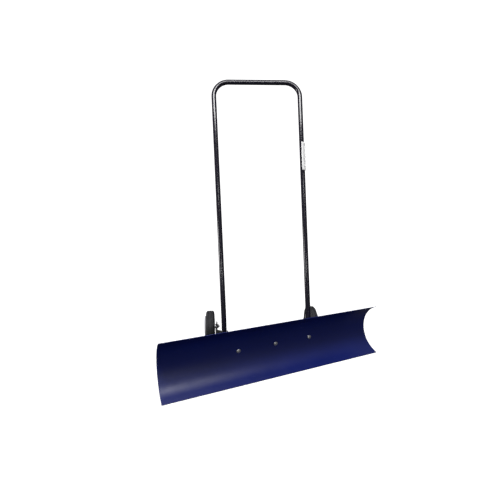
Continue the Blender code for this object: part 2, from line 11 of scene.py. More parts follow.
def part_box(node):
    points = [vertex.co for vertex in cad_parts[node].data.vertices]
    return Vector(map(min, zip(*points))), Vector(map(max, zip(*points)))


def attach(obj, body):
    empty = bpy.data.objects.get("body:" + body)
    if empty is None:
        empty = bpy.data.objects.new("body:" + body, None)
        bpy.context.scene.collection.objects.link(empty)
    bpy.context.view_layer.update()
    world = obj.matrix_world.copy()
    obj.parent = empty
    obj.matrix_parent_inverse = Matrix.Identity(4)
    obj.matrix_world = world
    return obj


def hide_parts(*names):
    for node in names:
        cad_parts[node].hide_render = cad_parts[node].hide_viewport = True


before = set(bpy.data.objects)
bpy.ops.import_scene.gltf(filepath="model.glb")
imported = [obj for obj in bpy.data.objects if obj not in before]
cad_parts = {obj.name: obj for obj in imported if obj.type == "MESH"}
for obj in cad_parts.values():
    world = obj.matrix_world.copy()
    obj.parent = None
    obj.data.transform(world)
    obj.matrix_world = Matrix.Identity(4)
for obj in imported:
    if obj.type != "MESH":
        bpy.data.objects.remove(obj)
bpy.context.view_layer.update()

# All sizes are in metres and repeat those of the CAD.
GAP = 0.0003
PLATE = 0.005

# Blade section: an upper and a lower arc that meet at the rearmost line, and a straight lip.
BLADE_WIDTH = 0.914
SHEET = 0.0022
UPPER_RADIUS = 0.107
LOWER_RADIUS = 0.100
UPPER_ANGLE = math.radians(71.0)
LOWER_ANGLE = math.radians(63.5)
LIP_LENGTH = 0.0235
LOWER_LENGTH = LOWER_RADIUS * LOWER_ANGLE
SECTION_LENGTH = LIP_LENGTH + LOWER_LENGTH + UPPER_RADIUS * UPPER_ANGLE
BLADE_YAW = math.radians(20.0)
PIVOT_TO_BLADE = 0.055
REAR_LINE_HEIGHT = (LOWER_RADIUS + SHEET / 2) * math.sin(LOWER_ANGLE) + LIP_LENGTH * math.cos(LOWER_ANGLE)
BLADE_BOLT_SPACING = 0.1585
BLADE_BOLT_ANGLE = math.radians(-2.3)
SHEET_ROUNDING = 0.0008
SCUFFED_HEIGHT = 0.075

# Saddle, swivel plate and pivot plate behind the blade.
SADDLE_THICKNESS = 0.004
SADDLE_LENGTH = 2 * BLADE_BOLT_SPACING + 0.044
SADDLE_ANGLES = (math.radians(-18.0), math.radians(10.5))
SWIVEL_LOW = 0.0755
SWIVEL_GAP = 0.0006
SWIVEL_FRONT_X = 0.08
SWIVEL_SIDE_STEPS = 16
SWIVEL_CORNER = math.radians(60.0)
SLOT_RADIUS = 0.105
SLOT_ANGLE = BLADE_YAW + math.radians(0.5)
SLOT_HALF_WIDTH = 0.0045
SWIVEL_RIM = 0.018
PIVOT_PLATE_LOW = SWIVEL_LOW + PLATE + SWIVEL_GAP
PIVOT_PLATE_RADIUS = 0.024
STRAP_LOW = PIVOT_PLATE_LOW + PLATE + GAP
STRAP_TOP = 0.119
STRAP_BEND = 0.010
STRAP_HALF_WIDTH = 0.019
PLATE_ROUNDING = 0.0007
BAR_ROUNDING = 0.0008
SWIVEL_WELDS = (("left", -0.072, -0.030), ("middle", -0.018, 0.018), ("right", 0.030, 0.072))
WELD_RIPPLE = 0.0022
WELD_RADIUS = 0.0024
STRAP_WELD_RADIUS = 0.0022
STRAP_WELD_END = 0.019
WELD_SIDES = 12

# Bent tube handle and the blank label on its right leg.
TUBE_RADIUS = 0.011
TUBE_WALL = 0.0015
TUBE_SKIN = TUBE_RADIUS - 0.00012
LEAN = math.radians(10.0)
HANDLE_HEIGHT = 1.218
FOOT_HEIGHT = 0.055
HANDLE_LENGTH = (HANDLE_HEIGHT - FOOT_HEIGHT) / math.cos(LEAN)
LEG_FOOT_X = 0.182
LEG_TOP_X = 0.199
LEG_Y_AT_BLADE = 0.052
STRAIGHT_FOOT = 0.12
LEG_FLARE = math.atan2(LEG_TOP_X - LEG_FOOT_X, HANDLE_LENGTH - STRAIGHT_FOOT)
BEND_RADIUS = 0.068
BEND_STEPS = 24
LABEL_SPAN = (0.763, 0.893)
LABEL_THICKNESS = 0.0003
LABEL_TAB = 0.006
LABEL_FRONT = math.radians(-110.0)
LABEL_BACK = math.radians(70.0)

# Wheels and their arms.
WHEEL_RADIUS = 0.076
WHEEL_WIDTH = 0.039
WHEEL_HALF = WHEEL_WIDTH / 2
RIM_RADIUS = 0.052
RIM_PROUD = 0.007
HUB_SINK = 0.002
HUB_PLAY = 0.0004
HUB_RADIUS = 0.016
SLEEVE_RADIUS = 0.0075
SPACER_RADIUS = 0.0110
WHEEL_X = 0.2498
AXLE_Y = 0.272
ARM_THICKNESS = 0.005
ARM_LEG_X = LEG_FOOT_X + TUBE_RADIUS + GAP + ARM_THICKNESS / 2
ARM_WHEEL_X = 0.219
ARM_FRONT_MARGIN = 0.016
LEG_BOLT_HEIGHTS = (0.072, 0.104)
TREAD_EDGE = 0.0138
TREAD_CROWN = 0.0008
TREAD_SLANT = 0.55
TREAD_LUGS = 40
LUG_PITCH = 2 * math.pi / TREAD_LUGS
SLOT_SHARES = (0.05, 0.20)
GROOVE_DEPTH = 0.0020
GROOVE_EDGE = 0.0066
RIM_RIBS = 8
RIB_PITCH = 2 * math.pi / RIM_RIBS
RIB_HALF = 0.0021
RIB_EDGE = 0.0006
RIB_FALL = 0.10
WEB_HALF = 0.004

# Radii of the shaft and the washer, the width across flats, three heights, and the thread's pitch.
Fastener = namedtuple("Fastener", "shaft washer flats head nut washer_height pitch")
M8 = Fastener(0.0040, 0.0080, 0.013, 0.0053, 0.0066, 0.0016, 0.00125)
M10 = Fastener(0.0050, 0.0100, 0.017, 0.0064, 0.0084, 0.0020, 0.0015)
M12 = Fastener(0.0060, 0.0120, 0.019, 0.0075, 0.0100, 0.0025, 0.00175)
DOME_RADIUS = 0.0090
DOME_HEIGHT = 0.0051
DOME_RIM = 0.0006
PAST_NUT = 0.002
CLAMP_THREAD = 0.016
THREAD_LENGTH = 0.012
THREAD_DEPTH = 0.54
CHAMFER_SLOPE = 0.99
FACE_SHARE = 0.475

SIDES = 48
WASHER_SIDES = 56
FASTENER_SHARP = 28.0
FULL_WEAR_ANGLE = math.radians(24.0)

ALONG_X = Matrix.Rotation(math.radians(90.0), 4, "Y")
ALONG_MINUS_X = Matrix.Rotation(math.radians(-90.0), 4, "Y")
DOWNWARD = Matrix.Rotation(math.radians(180.0), 4, "X")
BOTH_SIDES = (("left", -1), ("right", 1))


def move(x, y, z):
    return Matrix.Translation((x, y, z))


def design_origin():
    """Where the CAD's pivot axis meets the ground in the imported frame."""
    low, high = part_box("pivot_bolt")
    middle = (low + high) / 2
    return move(middle.x, middle.y, 0.0)


ORIGIN = design_origin()
BLADE_FRAME = ORIGIN @ Matrix.Rotation(BLADE_YAW, 4, "Z")
HANDLE_FOOT_Y = LEG_Y_AT_BLADE + (FOOT_HEIGHT - REAR_LINE_HEIGHT) * math.tan(LEAN)
HANDLE_FRAME = ORIGIN @ move(0.0, HANDLE_FOOT_Y, FOOT_HEIGHT) @ Matrix.Rotation(-LEAN, 4, "X")


# ---------------------------------------------------------------- material building blocks


class Graph:
    """A material's node tree with short calls for the few node kinds used here."""

    def __init__(self, name):
        self.material = bpy.data.materials.new(name)
        self.material.use_nodes = True
        self.tree = self.material.node_tree
        self.shader = self.tree.nodes["Principled BSDF"]
        self.coordinates = self.tree.nodes.new("ShaderNodeTexCoord").outputs["Object"]

    def link(self, source, target):
        self.tree.links.new(source, target)

    def node(self, kind, **settings):
        """A new node with its inputs set to numbers; an underscore in a name stands for a space."""
        node = self.tree.nodes.new(kind)
        for name, value in settings.items():
            node.inputs[name.replace("_", " ")].default_value = value
        return node

    def stretched(self, stretch):
        if stretch is None:
            return self.coordinates
        node = self.node("ShaderNodeMapping", Scale=stretch)
        self.link(self.coordinates, node.inputs["Vector"])
        return node.outputs["Vector"]

    def noise(self, scale, detail=2.0, roughness=0.5, stretch=None):
        node = self.node("ShaderNodeTexNoise", Scale=scale, Detail=detail, Roughness=roughness)
        self.link(self.stretched(stretch), node.inputs["Vector"])
        return node.outputs["Fac"]

    def cells(self, scale):
        node = self.node("ShaderNodeTexVoronoi", Scale=scale)
        self.link(self.coordinates, node.inputs["Vector"])
        return node.outputs["Distance"]

    def attribute(self, name):
        node = self.node("ShaderNodeAttribute")
        node.attribute_name = name
        return node.outputs["Fac"]

    def remap(self, value, low, high, to_low=0.0, to_high=1.0):
        node = self.node("ShaderNodeMapRange", From_Min=low, From_Max=high, To_Min=to_low, To_Max=to_high)
        self.link(value, node.inputs["Value"])
        return node.outputs["Result"]

    def calculate(self, operation, first, second):
        node = self.node("ShaderNodeMath")
        node.operation = operation
        for socket, value in zip(node.inputs, (first, second)):
            if isinstance(value, float):
                socket.default_value = value
            else:
                self.link(value, socket)
        return node.outputs["Value"]

    def mix(self, factor, first, second):
        node = self.node("ShaderNodeMix")
        node.data_type = "RGBA"
        self.link(factor, node.inputs["Factor"])
        for socket, value in ((node.inputs["A"], first), (node.inputs["B"], second)):
            if isinstance(value, tuple):
                socket.default_value = (*value, 1.0)
            else:
                self.link(value, socket)
        return node.outputs["Result"]

    def drift(self, value, low, high, first, second):
        """A colour that goes from the first to the second as the value goes from low to high."""
        return self.mix(self.remap(value, low, high), first, second)

    def cover(self, colour, mask, amount, second):
        """The second colour laid over the first by up to an amount, where the mask says."""
        return self.mix(self.calculate("MULTIPLY", mask, amount), colour, second)

    def grit(self, scale, detail, low, high):
        """Roughness that varies between two values."""
        return self.remap(self.noise(scale, detail), 0.3, 0.7, low, high)

    def bump(self, height, strength, distance, below=None):
        node = self.node("ShaderNodeBump", Strength=strength, Distance=distance)
        self.link(height, node.inputs["Height"])
        if below is not None:
            self.link(below, node.inputs["Normal"])
        return node.outputs["Normal"]

    def finish(self, colour, roughness, normal, metallic=0.0):
        self.link(colour, self.shader.inputs["Base Color"])
        self.link(roughness, self.shader.inputs["Roughness"])
        self.link(normal, self.shader.inputs["Normal"])
        self.shader.inputs["Specular IOR Level"].default_value = 0.5
        if isinstance(metallic, float):
            self.shader.inputs["Metallic"].default_value = metallic
        else:
            self.link(metallic, self.shader.inputs["Metallic"])
        return self.material


def navy_paint():
    """Satin navy powder coat with an orange-peel surface, faint scuffs, and bare steel on rubbed edges."""
    g = Graph("navy_paint_looks")
    colour = g.drift(g.noise(5.0, 4.0, 0.6), 0.35, 0.65, (0.0020, 0.0100, 0.132), (0.0030, 0.0120, 0.156))
    lines = g.remap(g.noise(60.0, 4.0, 0.6, (0.35, 1.0, 9.0)), 0.60, 0.74)
    scuffs = g.calculate("MULTIPLY", lines, g.attribute("lip"))
    colour = g.cover(colour, scuffs, 0.35, (0.070, 0.080, 0.230))
    chips = g.remap(g.calculate("ADD", g.attribute("wear"), g.noise(260.0, 3.0)), 1.48, 1.60)
    colour = g.mix(chips, colour, (0.30, 0.30, 0.32))
    roughness = g.remap(g.noise(26.0, 5.0, 0.6), 0.3, 0.7, 0.38, 0.46)
    roughness = g.calculate("SUBTRACT", roughness, g.calculate("MULTIPLY", chips, 0.15))
    normal = g.bump(g.noise(420.0, 3.0, 0.55), 0.22, 0.00025)
    normal = g.bump(g.noise(2.2), 0.25, 0.004, normal)
    return g.finish(colour, roughness, normal, chips)


def gloss_black():
    """Glossy black paint on the handle tube, with a slight ripple and faint hairlines."""
    g = Graph("black_gloss_paint_looks")
    colour = g.drift(g.noise(14.0, 3.0), 0.35, 0.65, (0.0070, 0.0060, 0.0125), (0.0110, 0.0095, 0.0185))
    dust = g.remap(g.noise(70.0, 6.0, 0.7), 0.60, 0.78)
    colour = g.cover(colour, dust, 0.10, (0.11, 0.11, 0.12))
    hairlines = g.noise(90.0, 3.0, 0.6, (1.0, 1.0, 0.06))
    roughness = g.remap(hairlines, 0.35, 0.75, 0.13, 0.20)
    roughness = g.calculate("ADD", roughness, g.calculate("MULTIPLY", dust, 0.12))
    normal = g.bump(g.noise(160.0), 0.10, 0.0003)
    normal = g.bump(hairlines, 0.05, 0.0002, normal)
    return g.finish(colour, roughness, normal)


def frame_black():
    """Satin black paint on the steel plates, rubbed to grey steel along their edges."""
    g = Graph("black_frame_paint_looks")
    colour = g.drift(g.noise(18.0, 4.0, 0.6), 0.35, 0.65, (0.012, 0.012, 0.014), (0.019, 0.019, 0.022))
    dust = g.remap(g.noise(95.0, 6.0, 0.7), 0.56, 0.76)
    colour = g.cover(colour, dust, 0.18, (0.13, 0.125, 0.12))
    chips = g.remap(g.calculate("ADD", g.attribute("wear"), g.noise(240.0, 4.0, 0.6)), 1.40, 1.50)
    colour = g.mix(chips, colour, (0.33, 0.32, 0.31))
    return g.finish(colour, g.grit(40.0, 4.0, 0.40, 0.52), g.bump(g.noise(520.0, 3.0), 0.20, 0.0002), chips)


def zinc():
    """Bright zinc plating with a cloudy passivation tint."""
    g = Graph("zinc_looks")
    colour = g.drift(g.noise(150.0, 4.0, 0.6), 0.35, 0.68, (0.60, 0.61, 0.64), (0.74, 0.74, 0.72))
    stains = g.remap(g.noise(420.0, 4.0, 0.65), 0.62, 0.74)
    colour = g.cover(colour, stains, 0.45, (0.40, 0.38, 0.36))
    return g.finish(colour, g.grit(600.0, 3.0, 0.24, 0.38), g.bump(g.noise(1300.0), 0.15, 0.0001), 1.0)


def tyre_rubber():
    """Matt black rubber, slightly greyed by dust on the tread."""
    g = Graph("tyre_rubber_looks")
    colour = g.drift(g.noise(45.0, 4.0, 0.6), 0.35, 0.68, (0.020, 0.020, 0.023), (0.033, 0.033, 0.037))
    dust = g.calculate("MULTIPLY", g.remap(g.noise(210.0, 5.0, 0.7), 0.42, 0.70), g.attribute("tread"))
    colour = g.cover(colour, dust, 0.55, (0.105, 0.105, 0.112))
    return g.finish(colour, g.grit(300.0, 3.0, 0.62, 0.80), g.bump(g.noise(900.0, 4.0, 0.6), 0.35, 0.0003))


def rim_plastic():
    """Pale grey moulded plastic with a fine spark-eroded grain, and painted shade that darkens the sunken web
    between its ribs.
    """
    g = Graph("rim_plastic_looks")
    colour = g.drift(g.noise(30.0, 3.0), 0.35, 0.65, (0.47, 0.465, 0.50), (0.54, 0.535, 0.57))
    # Painted shade: the sunken web between the ribs is darkened towards a dark grey, broken up by noise.
    painted_shade = g.remap(g.calculate("ADD", g.attribute("recess_shade"), g.noise(120.0, 5.0, 0.65)), 0.85, 1.35)
    colour = g.cover(colour, painted_shade, 0.5, (0.17, 0.165, 0.16))
    return g.finish(colour, g.grit(220.0, 3.0, 0.36, 0.50), g.bump(g.noise(1500.0), 0.22, 0.0002))


def black_plastic():
    """Moulded black plastic for the knob and the leg plugs."""
    g = Graph("black_plastic_looks")
    colour = g.drift(g.noise(60.0, 4.0), 0.35, 0.65, (0.013, 0.013, 0.014), (0.024, 0.024, 0.025))
    return g.finish(colour, g.grit(180.0, 3.0, 0.40, 0.56), g.bump(g.cells(1500.0), 0.25, 0.0002))


def label_film():
    """White plastic film with a soft gloss, faint waves and slightly greyed edges."""
    g = Graph("label_film_looks")
    colour = g.drift(g.noise(55.0, 4.0), 0.40, 0.70, (0.90, 0.90, 0.90), (0.80, 0.80, 0.80))
    edge = g.calculate("MULTIPLY", g.attribute("wear"), g.remap(g.noise(300.0, 3.0), 0.40, 0.60))
    colour = g.cover(colour, edge, 0.5, (0.45, 0.44, 0.43))
    return g.finish(colour, g.grit(90.0, 3.0, 0.32, 0.46), g.bump(g.noise(60.0), 0.25, 0.0008))


def nylon():
    """The locking ring of a nut."""
    g = Graph("nylon_looks")
    colour = g.drift(g.noise(400.0, 3.0), 0.4, 0.6, (0.62, 0.63, 0.62), (0.70, 0.70, 0.68))
    return g.finish(colour, g.grit(300.0, 2.0, 0.4, 0.55), g.bump(g.noise(900.0), 0.2, 0.0001))


LOOKS = {
    "navy_paint": navy_paint(),
    "black_gloss_paint": gloss_black(),
    "black_frame_paint": frame_black(),
    "zinc": zinc(),
    "tyre_rubber": tyre_rubber(),
    "rim_plastic": rim_plastic(),
    "black_plastic": black_plastic(),
    "label_film": label_film(),
}
NYLON = nylon()


# ---------------------------------------------------------------- mesh building blocks


def spread(low, high, steps):
    return [low + (high - low) * k / steps for k in range(steps + 1)]


def full_turn(sides):
    return [2 * math.pi * k / sides for k in range(sides)]


def circle(radius, height, sides=SIDES):
    return [(radius * math.cos(t), radius * math.sin(t), height) for t in full_turn(sides)]


def arc_points(centre, radius, start, end, steps):
    turns = spread(start, end, steps)
    return [(centre[0] + radius * math.cos(t), centre[1] + radius * math.sin(t)) for t in turns]


def hole(centre, radius, sides=24):
    """A clockwise circle."""
    return arc_points(centre, radius, 2 * math.pi, 2 * math.pi / sides, sides - 1)


def mirrored(vector):
    return Vector((-vector.x, vector.y, vector.z))


def upright(turn):
    """Unit vector at an angle in the plane of X and Z."""
    return Vector((math.cos(turn), 0.0, math.sin(turn)))


def join_rows(bm, here, there):
    """Quads between two rows of vertices."""
    for a, b, c, d in zip(here, here[1:], there[1:], there):
        bm.faces.new((a, b, c, d))


def join_rings(bm, here, there):
    join_rows(bm, here + here[:1], there + there[:1])


def skin(rings, loop=False):
    """A surface through rings of equally many points, capped at its ends or joined into a loop."""
    bm = bmesh.new()
    verts = [[bm.verts.new(point) for point in ring] for ring in rings]
    for here, there in zip(verts, verts[1:]):
        join_rings(bm, here, there)
    if loop:
        join_rings(bm, verts[-1], verts[0])
    else:
        bm.faces.new(verts[0])
        bm.faces.new(verts[-1])
    return bm


def lathe(profile, sides, loop=False):
    """A body of revolution about local Z from (radius, height) pairs."""
    return skin([circle(radius, height, sides) for radius, height in profile], loop)


def bar_section(width, height, support):
    """A rectangle with rounded corners, and an extra point near each end of its long sides."""
    x = width / 2 - BAR_ROUNDING
    y = height / 2 - BAR_ROUNDING
    inner = width / 2 - support

    def corner(centre, start):
        return arc_points(centre, BAR_ROUNDING, start, start + math.pi / 2, 3)

    ring = corner((x, -y), -math.pi / 2) + corner((x, y), 0.0)
    ring += [(inner, height / 2), (-inner, height / 2)]
    ring += corner((-x, y), math.pi / 2) + corner((-x, -y), math.pi)
    return ring + [(-inner, -height / 2), (inner, -height / 2)]


def inset(loop, distance):
    """An outline moved inwards, which is to the left of its direction."""
    moved = []
    for before, here, after in zip(loop[-1:] + loop, loop, loop[1:] + loop[:1]):
        along = (Vector(after) - Vector(before)).normalized()
        moved.append(Vector(here) - Vector((along.y, -along.x)) * distance)
    return moved


def plate(outline, holes, low, support=0.0022):
    """A flat plate with rounded edges. The outline runs anticlockwise and the holes clockwise."""
    bm = bmesh.new()
    high = low + PLATE
    turns = spread(0.0, math.pi / 2, 3)
    edge = [(PLATE_ROUNDING * (1 - math.sin(t)), PLATE_ROUNDING * (1 - math.cos(t))) for t in turns]
    levels = [(support, low)] + [(distance, low + rise) for distance, rise in edge]
    levels += [(distance, high - rise) for distance, rise in reversed(edge)] + [(support, high)]
    bottom, top = [], []
    for loop in [outline, *holes]:
        rings = []
        for distance, height in levels:
            rings.append([bm.verts.new((*point, height)) for point in inset(loop, distance)])
        for here, there in zip(rings, rings[1:]):
            join_rings(bm, here, there)
        for edges, ring in ((bottom, rings[0]), (top, rings[-1])):
            edges += [bm.edges.get(pair) for pair in zip(ring[-1:] + ring, ring)]
    for edges in (bottom, top):
        bmesh.ops.triangle_fill(bm, edges=edges, use_beauty=True, use_dissolve=False)
    return bm


def edge_wear(bm):
    """How sharply the surface turns outwards at each vertex, from 0 to 1."""
    bm.normal_update()
    values = {}
    for vert in bm.verts:
        turns = [e.calc_face_angle_signed(0.0) for e in vert.link_edges if len(e.link_faces) == 2]
        values[vert.index] = max(0.0, min(1.0, max(turns, default=0.0) / FULL_WEAR_ANGLE))
    return values


def add_piece(name, bm, look, body, node, place, masks=None, sharp=32.0, extra=None):
    """Makes a finished piece from a mesh, puts it on its body and hides the CAD node it stands for."""
    bmesh.ops.recalc_face_normals(bm, faces=bm.faces)
    bm.verts.index_update()
    masks = dict(masks or {})
    if "wear" not in masks:
        masks["wear"] = edge_wear(bm)
    mesh = bpy.data.meshes.new(name)
    bm.transform(place)
    bm.to_mesh(mesh)
    bm.free()
    for mask, values in masks.items():
        layer = mesh.attributes.new(mask, "FLOAT", "POINT")
        for index, value in values.items():
            layer.data[index].value = value
    mesh.shade_smooth()
    mesh.set_sharp_from_angle(angle=math.radians(sharp))
    mesh.materials.append(LOOKS[look])
    if extra is not None:
        mesh.materials.append(extra)
    thing = bpy.data.objects.new(name, mesh)
    bpy.context.scene.collection.objects.link(thing)
    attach(thing, body)
    if node is not None:
        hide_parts(node)


# ---------------------------------------------------------------- blade and swivel plate


def arc_station(angle, offset):
    """Depth and height of the blade's section at an angle above its rearmost line."""
    radius = UPPER_RADIUS if angle > 0 else LOWER_RADIUS
    depth = -PIVOT_TO_BLADE - radius + (radius + offset) * math.cos(angle)
    return depth, REAR_LINE_HEIGHT + (radius + offset) * math.sin(angle)


def sheet_station(travel, offset):
    """A point of the section at a distance along it from the bottom edge."""
    if travel < LIP_LENGTH:
        depth, height = arc_station(-LOWER_ANGLE, offset)
        below = LIP_LENGTH - travel
        return depth - below * math.sin(LOWER_ANGLE), height - below * math.cos(LOWER_ANGLE)
    if travel < LIP_LENGTH + LOWER_LENGTH:
        return arc_station((travel - LIP_LENGTH) / LOWER_RADIUS - LOWER_ANGLE, offset)
    return arc_station((travel - LIP_LENGTH - LOWER_LENGTH) / UPPER_RADIUS, offset)


def blade_travels():
    """Stations along the section, close together at its two edges."""
    edge = [0.0, 0.0003, 0.0008, 0.0018, 0.004, 0.008]
    middle = spread(0.013, SECTION_LENGTH - 0.013, 64)
    return edge + middle + [SECTION_LENGTH - d for d in reversed(edge)]


def blade_columns():
    """Sideways stations across the blade, close together at its ends."""
    edge = [0.0, 0.0003, 0.0008, 0.0018, 0.004, 0.009]
    half = BLADE_WIDTH / 2
    middle = spread(-half + 0.022, half - 0.022, 44)
    return [d - half for d in edge] + middle + [half - d for d in reversed(edge)]


def edge_thickness(distance):
    """Half thickness of the sheet at a distance from its edge, which is rounded."""
    if distance >= SHEET_ROUNDING:
        return SHEET / 2
    rise = math.sqrt(1 - (1 - distance / SHEET_ROUNDING) ** 2)
    return SHEET / 2 * (0.35 + 0.65 * rise)


def rubbed(to_end, to_bottom, to_top):
    """Wear mask of the blade: strongest on the bottom edge that scrapes the ground."""
    bottom = max(0.0, 1.0 - to_bottom / 0.0045)
    top = 0.75 * max(0.0, 1.0 - to_top / 0.0012)
    end = 0.78 * max(0.0, 1.0 - to_end / 0.0015)
    return max(bottom, top, end)


def blade_grid(bm, side, wear, lip):
    """Rows of vertices of the sheet's front (side -1) or back (side 1), and their masks."""
    grid = []
    for travel in blade_travels():
        row = []
        for x in blade_columns():
            to_end = BLADE_WIDTH / 2 - abs(x)
            to_top = SECTION_LENGTH - travel
            half = edge_thickness(min(to_end, travel, to_top))
            index = len(bm.verts)
            row.append(bm.verts.new((x, *sheet_station(travel, side * half))))
            wear[index] = rubbed(to_end, travel, to_top)
            lip[index] = max(0.0, 1.0 - travel / SCUFFED_HEIGHT) if side < 0 else 0.0
        grid.append(row)
    return grid


def add_blade():
    bm = bmesh.new()
    wear, lip = {}, {}
    front = blade_grid(bm, -1, wear, lip)
    back = blade_grid(bm, 1, wear, lip)
    for grid in (front, back):
        for here, there in zip(grid, grid[1:]):
            join_rows(bm, here, there)
    for end in (0, -1):
        join_rows(bm, [row[end] for row in front], [row[end] for row in back])
        join_rows(bm, front[end], back[end])
    masks = {"wear": wear, "lip": lip}
    add_piece("blade_sheet", bm, "navy_paint", "blade_unit", "blade", BLADE_FRAME, masks)


def add_saddle():
    """The curved strip behind the blade that the three bolts clamp."""
    middle = SHEET / 2 + GAP + SADDLE_THICKNESS / 2
    low, high = SADDLE_ANGLES
    section = bar_section(SADDLE_LENGTH, SADDLE_THICKNESS, 0.004)
    margin = PLATE_ROUNDING / LOWER_RADIUS
    angles = [low, low + margin] + spread(low + 0.03, high - 0.03, 22) + [high - margin, high]
    rings = []
    for angle in angles:
        shrink = 0.55 if angle in (low, high) else 1.0
        rings.append([(x, *arc_station(angle, middle + t * shrink)) for x, t in section])
    bm = skin(rings)
    add_piece("blade_saddle_strip", bm, "black_frame_paint", "blade_unit", "blade_saddle", BLADE_FRAME)


def saddle_back(height):
    """Depth of the saddle's back face at a height below the rearmost line."""
    radius = LOWER_RADIUS + SHEET / 2 + GAP + SADDLE_THICKNESS
    drop = REAR_LINE_HEIGHT - height
    return -PIVOT_TO_BLADE - LOWER_RADIUS + math.sqrt(radius * radius - drop * drop)


def swivel_outline():
    """Straight along the saddle, narrowing to a round end behind the slot."""
    front = saddle_back(SWIVEL_LOW + PLATE) + GAP
    rim = SLOT_RADIUS + SWIVEL_RIM
    narrowing = rim * math.cos(SWIVEL_CORNER) - SWIVEL_FRONT_X
    depth = rim * math.sin(SWIVEL_CORNER) - front
    shares = [k / SWIVEL_SIDE_STEPS for k in range(1, SWIVEL_SIDE_STEPS)]
    side = [(SWIVEL_FRONT_X + narrowing * share, front + depth * share) for share in shares]
    outline = [(x, front) for x in spread(-SWIVEL_FRONT_X, SWIVEL_FRONT_X, 24)] + side
    outline += arc_points((0.0, 0.0), rim, SWIVEL_CORNER, math.pi - SWIVEL_CORNER, 40)
    return outline + [(-x, y) for x, y in reversed(side)]


def swivel_slot():
    """A clockwise slot with round ends, along an arc about the pivot."""
    start = math.pi / 2 - SLOT_ANGLE
    end = math.pi / 2 + SLOT_ANGLE
    slot = []
    for first, last, way in ((end, start, 1), (start, end, -1)):
        tip = (SLOT_RADIUS * math.cos(last), SLOT_RADIUS * math.sin(last))
        begin = last if way > 0 else last + math.pi
        slot += arc_points((0.0, 0.0), SLOT_RADIUS + way * SLOT_HALF_WIDTH, first, last, 40)
        slot += arc_points(tip, SLOT_HALF_WIDTH, begin, begin - math.pi, 12)[1:-1]
    return slot


def add_swivel_plate():
    holes = [swivel_slot(), hole((0.0, 0.0), M12.shaft + GAP)]
    bm = plate(swivel_outline(), holes, SWIVEL_LOW, support=0.0016)
    add_piece("swivel_plate_cut", bm, "black_frame_paint", "blade_unit", "swivel_plate", BLADE_FRAME)


def weld_bead(start, end, radius):
    """A welded seam: a half-sunk bead with the stacked-coin ripples of a hand weld."""
    start, end = Vector(start), Vector(end)
    length = (end - start).length
    along = (end - start).normalized()
    side = along.cross(Vector((0.0, 0.0, 1.0))).normalized()
    up = side.cross(along).normalized()
    steps = max(12, int(length / WELD_RIPPLE * 5))
    rings = []
    for k in range(steps + 1):
        here = start + (end - start) * (k / steps)
        phase = (length * k / steps / WELD_RIPPLE) % 1.0
        taper = min(1.0, 6.0 * k / steps + 0.25, 6.0 * (steps - k) / steps + 0.25)
        reach = radius * taper * (0.84 + 0.16 * math.sin(math.pi * phase) + 0.05 * math.sin(2.3 * k))
        across = [side * math.cos(t) + up * math.sin(t) for t in full_turn(WELD_SIDES)]
        rings.append([here + direction * reach for direction in across])
    return skin(rings)


def add_welds():
    for name, low, high in SWIVEL_WELDS:
        for level, height in (("upper", SWIVEL_LOW + PLATE), ("lower", SWIVEL_LOW)):
            depth = saddle_back(height) + 2 * GAP
            bead = weld_bead((low, depth, height), (high, depth, height), WELD_RADIUS)
            piece = f"{name}_{level}_swivel_weld"
            add_piece(piece, bead, "black_frame_paint", "blade_unit", None, BLADE_FRAME)
    middle = leg_y(LEG_BOLT_HEIGHTS[1])
    height = PIVOT_PLATE_LOW + PLATE
    for name, edge in (("front", middle - STRAP_HALF_WIDTH), ("back", middle + STRAP_HALF_WIDTH)):
        bead = weld_bead((-STRAP_WELD_END, edge, height), (STRAP_WELD_END, edge, height), STRAP_WELD_RADIUS)
        add_piece(f"{name}_strap_weld", bead, "black_frame_paint", "frame", None, ORIGIN)


def add_pivot_plate():
    radius = PIVOT_PLATE_RADIUS
    outline = arc_points((0.0, SLOT_RADIUS), radius, 0.0, math.pi, 28)
    outline += [(-radius, y) for y in spread(SLOT_RADIUS, 0.0, 14)[1:-1]]
    outline += arc_points((0.0, 0.0), radius, math.pi, 2 * math.pi, 28)
    outline += [(radius, y) for y in spread(0.0, SLOT_RADIUS, 14)[1:-1]]
    holes = [hole((0.0, 0.0), M12.shaft + GAP), hole((0.0, SLOT_RADIUS), M8.shaft + GAP)]
    bm = plate(outline, holes, PIVOT_PLATE_LOW)
    add_piece("pivot_plate_cut", bm, "black_frame_paint", "frame", "pivot_plate", ORIGIN)


# ---------------------------------------------------------------- fasteners


def hex_ring(flats, height):
    ring = []
    for turn in full_turn(SIDES):
        local = (turn + math.pi / 6) % (math.pi / 3) - math.pi / 6
        radius = flats / 2 / math.cos(math.pi / 6 - abs(local))
        ring.append((radius * math.cos(turn), radius * math.sin(turn), height))
    return ring


def chamfered_hex(flats, height):
    """A hexagonal ring whose corners are turned down by a chamfer."""
    ring = hex_ring(flats, 0.0)
    return [(x, y, height + CHAMFER_SLOPE * (math.hypot(x, y) - flats / 2)) for x, y, _ in ring]


def thread_rings(size, start, end):
    """Rings of a helical thread along Z that fades out at its end."""
    rings = []
    for z in spread(start, end, max(4, int((end - start) / size.pitch * 8))):
        fade = min(1.0, (end - z) / size.pitch + 0.15)
        crest = size.shaft - 0.0004 * (1 - fade)
        ring = []
        for turn in full_turn(SIDES):
            phase = (z / size.pitch - turn / (2 * math.pi)) % 1.0
            reach = crest - THREAD_DEPTH * size.pitch * abs(2 * phase - 1)
            ring.append((reach * math.cos(turn), reach * math.sin(turn), z))
        rings.append(ring)
    return rings


def shaft_rings(size, length):
    """The shank, the thread and the chamfered tip of a bolt."""
    thread = min(THREAD_LENGTH, length * 0.6)
    rings = [circle(size.shaft, 0.0), circle(size.shaft, length - thread - 0.0002)]
    rings += thread_rings(size, length - thread, length - 0.0006)
    return rings + [circle(size.shaft * 0.78, length)]


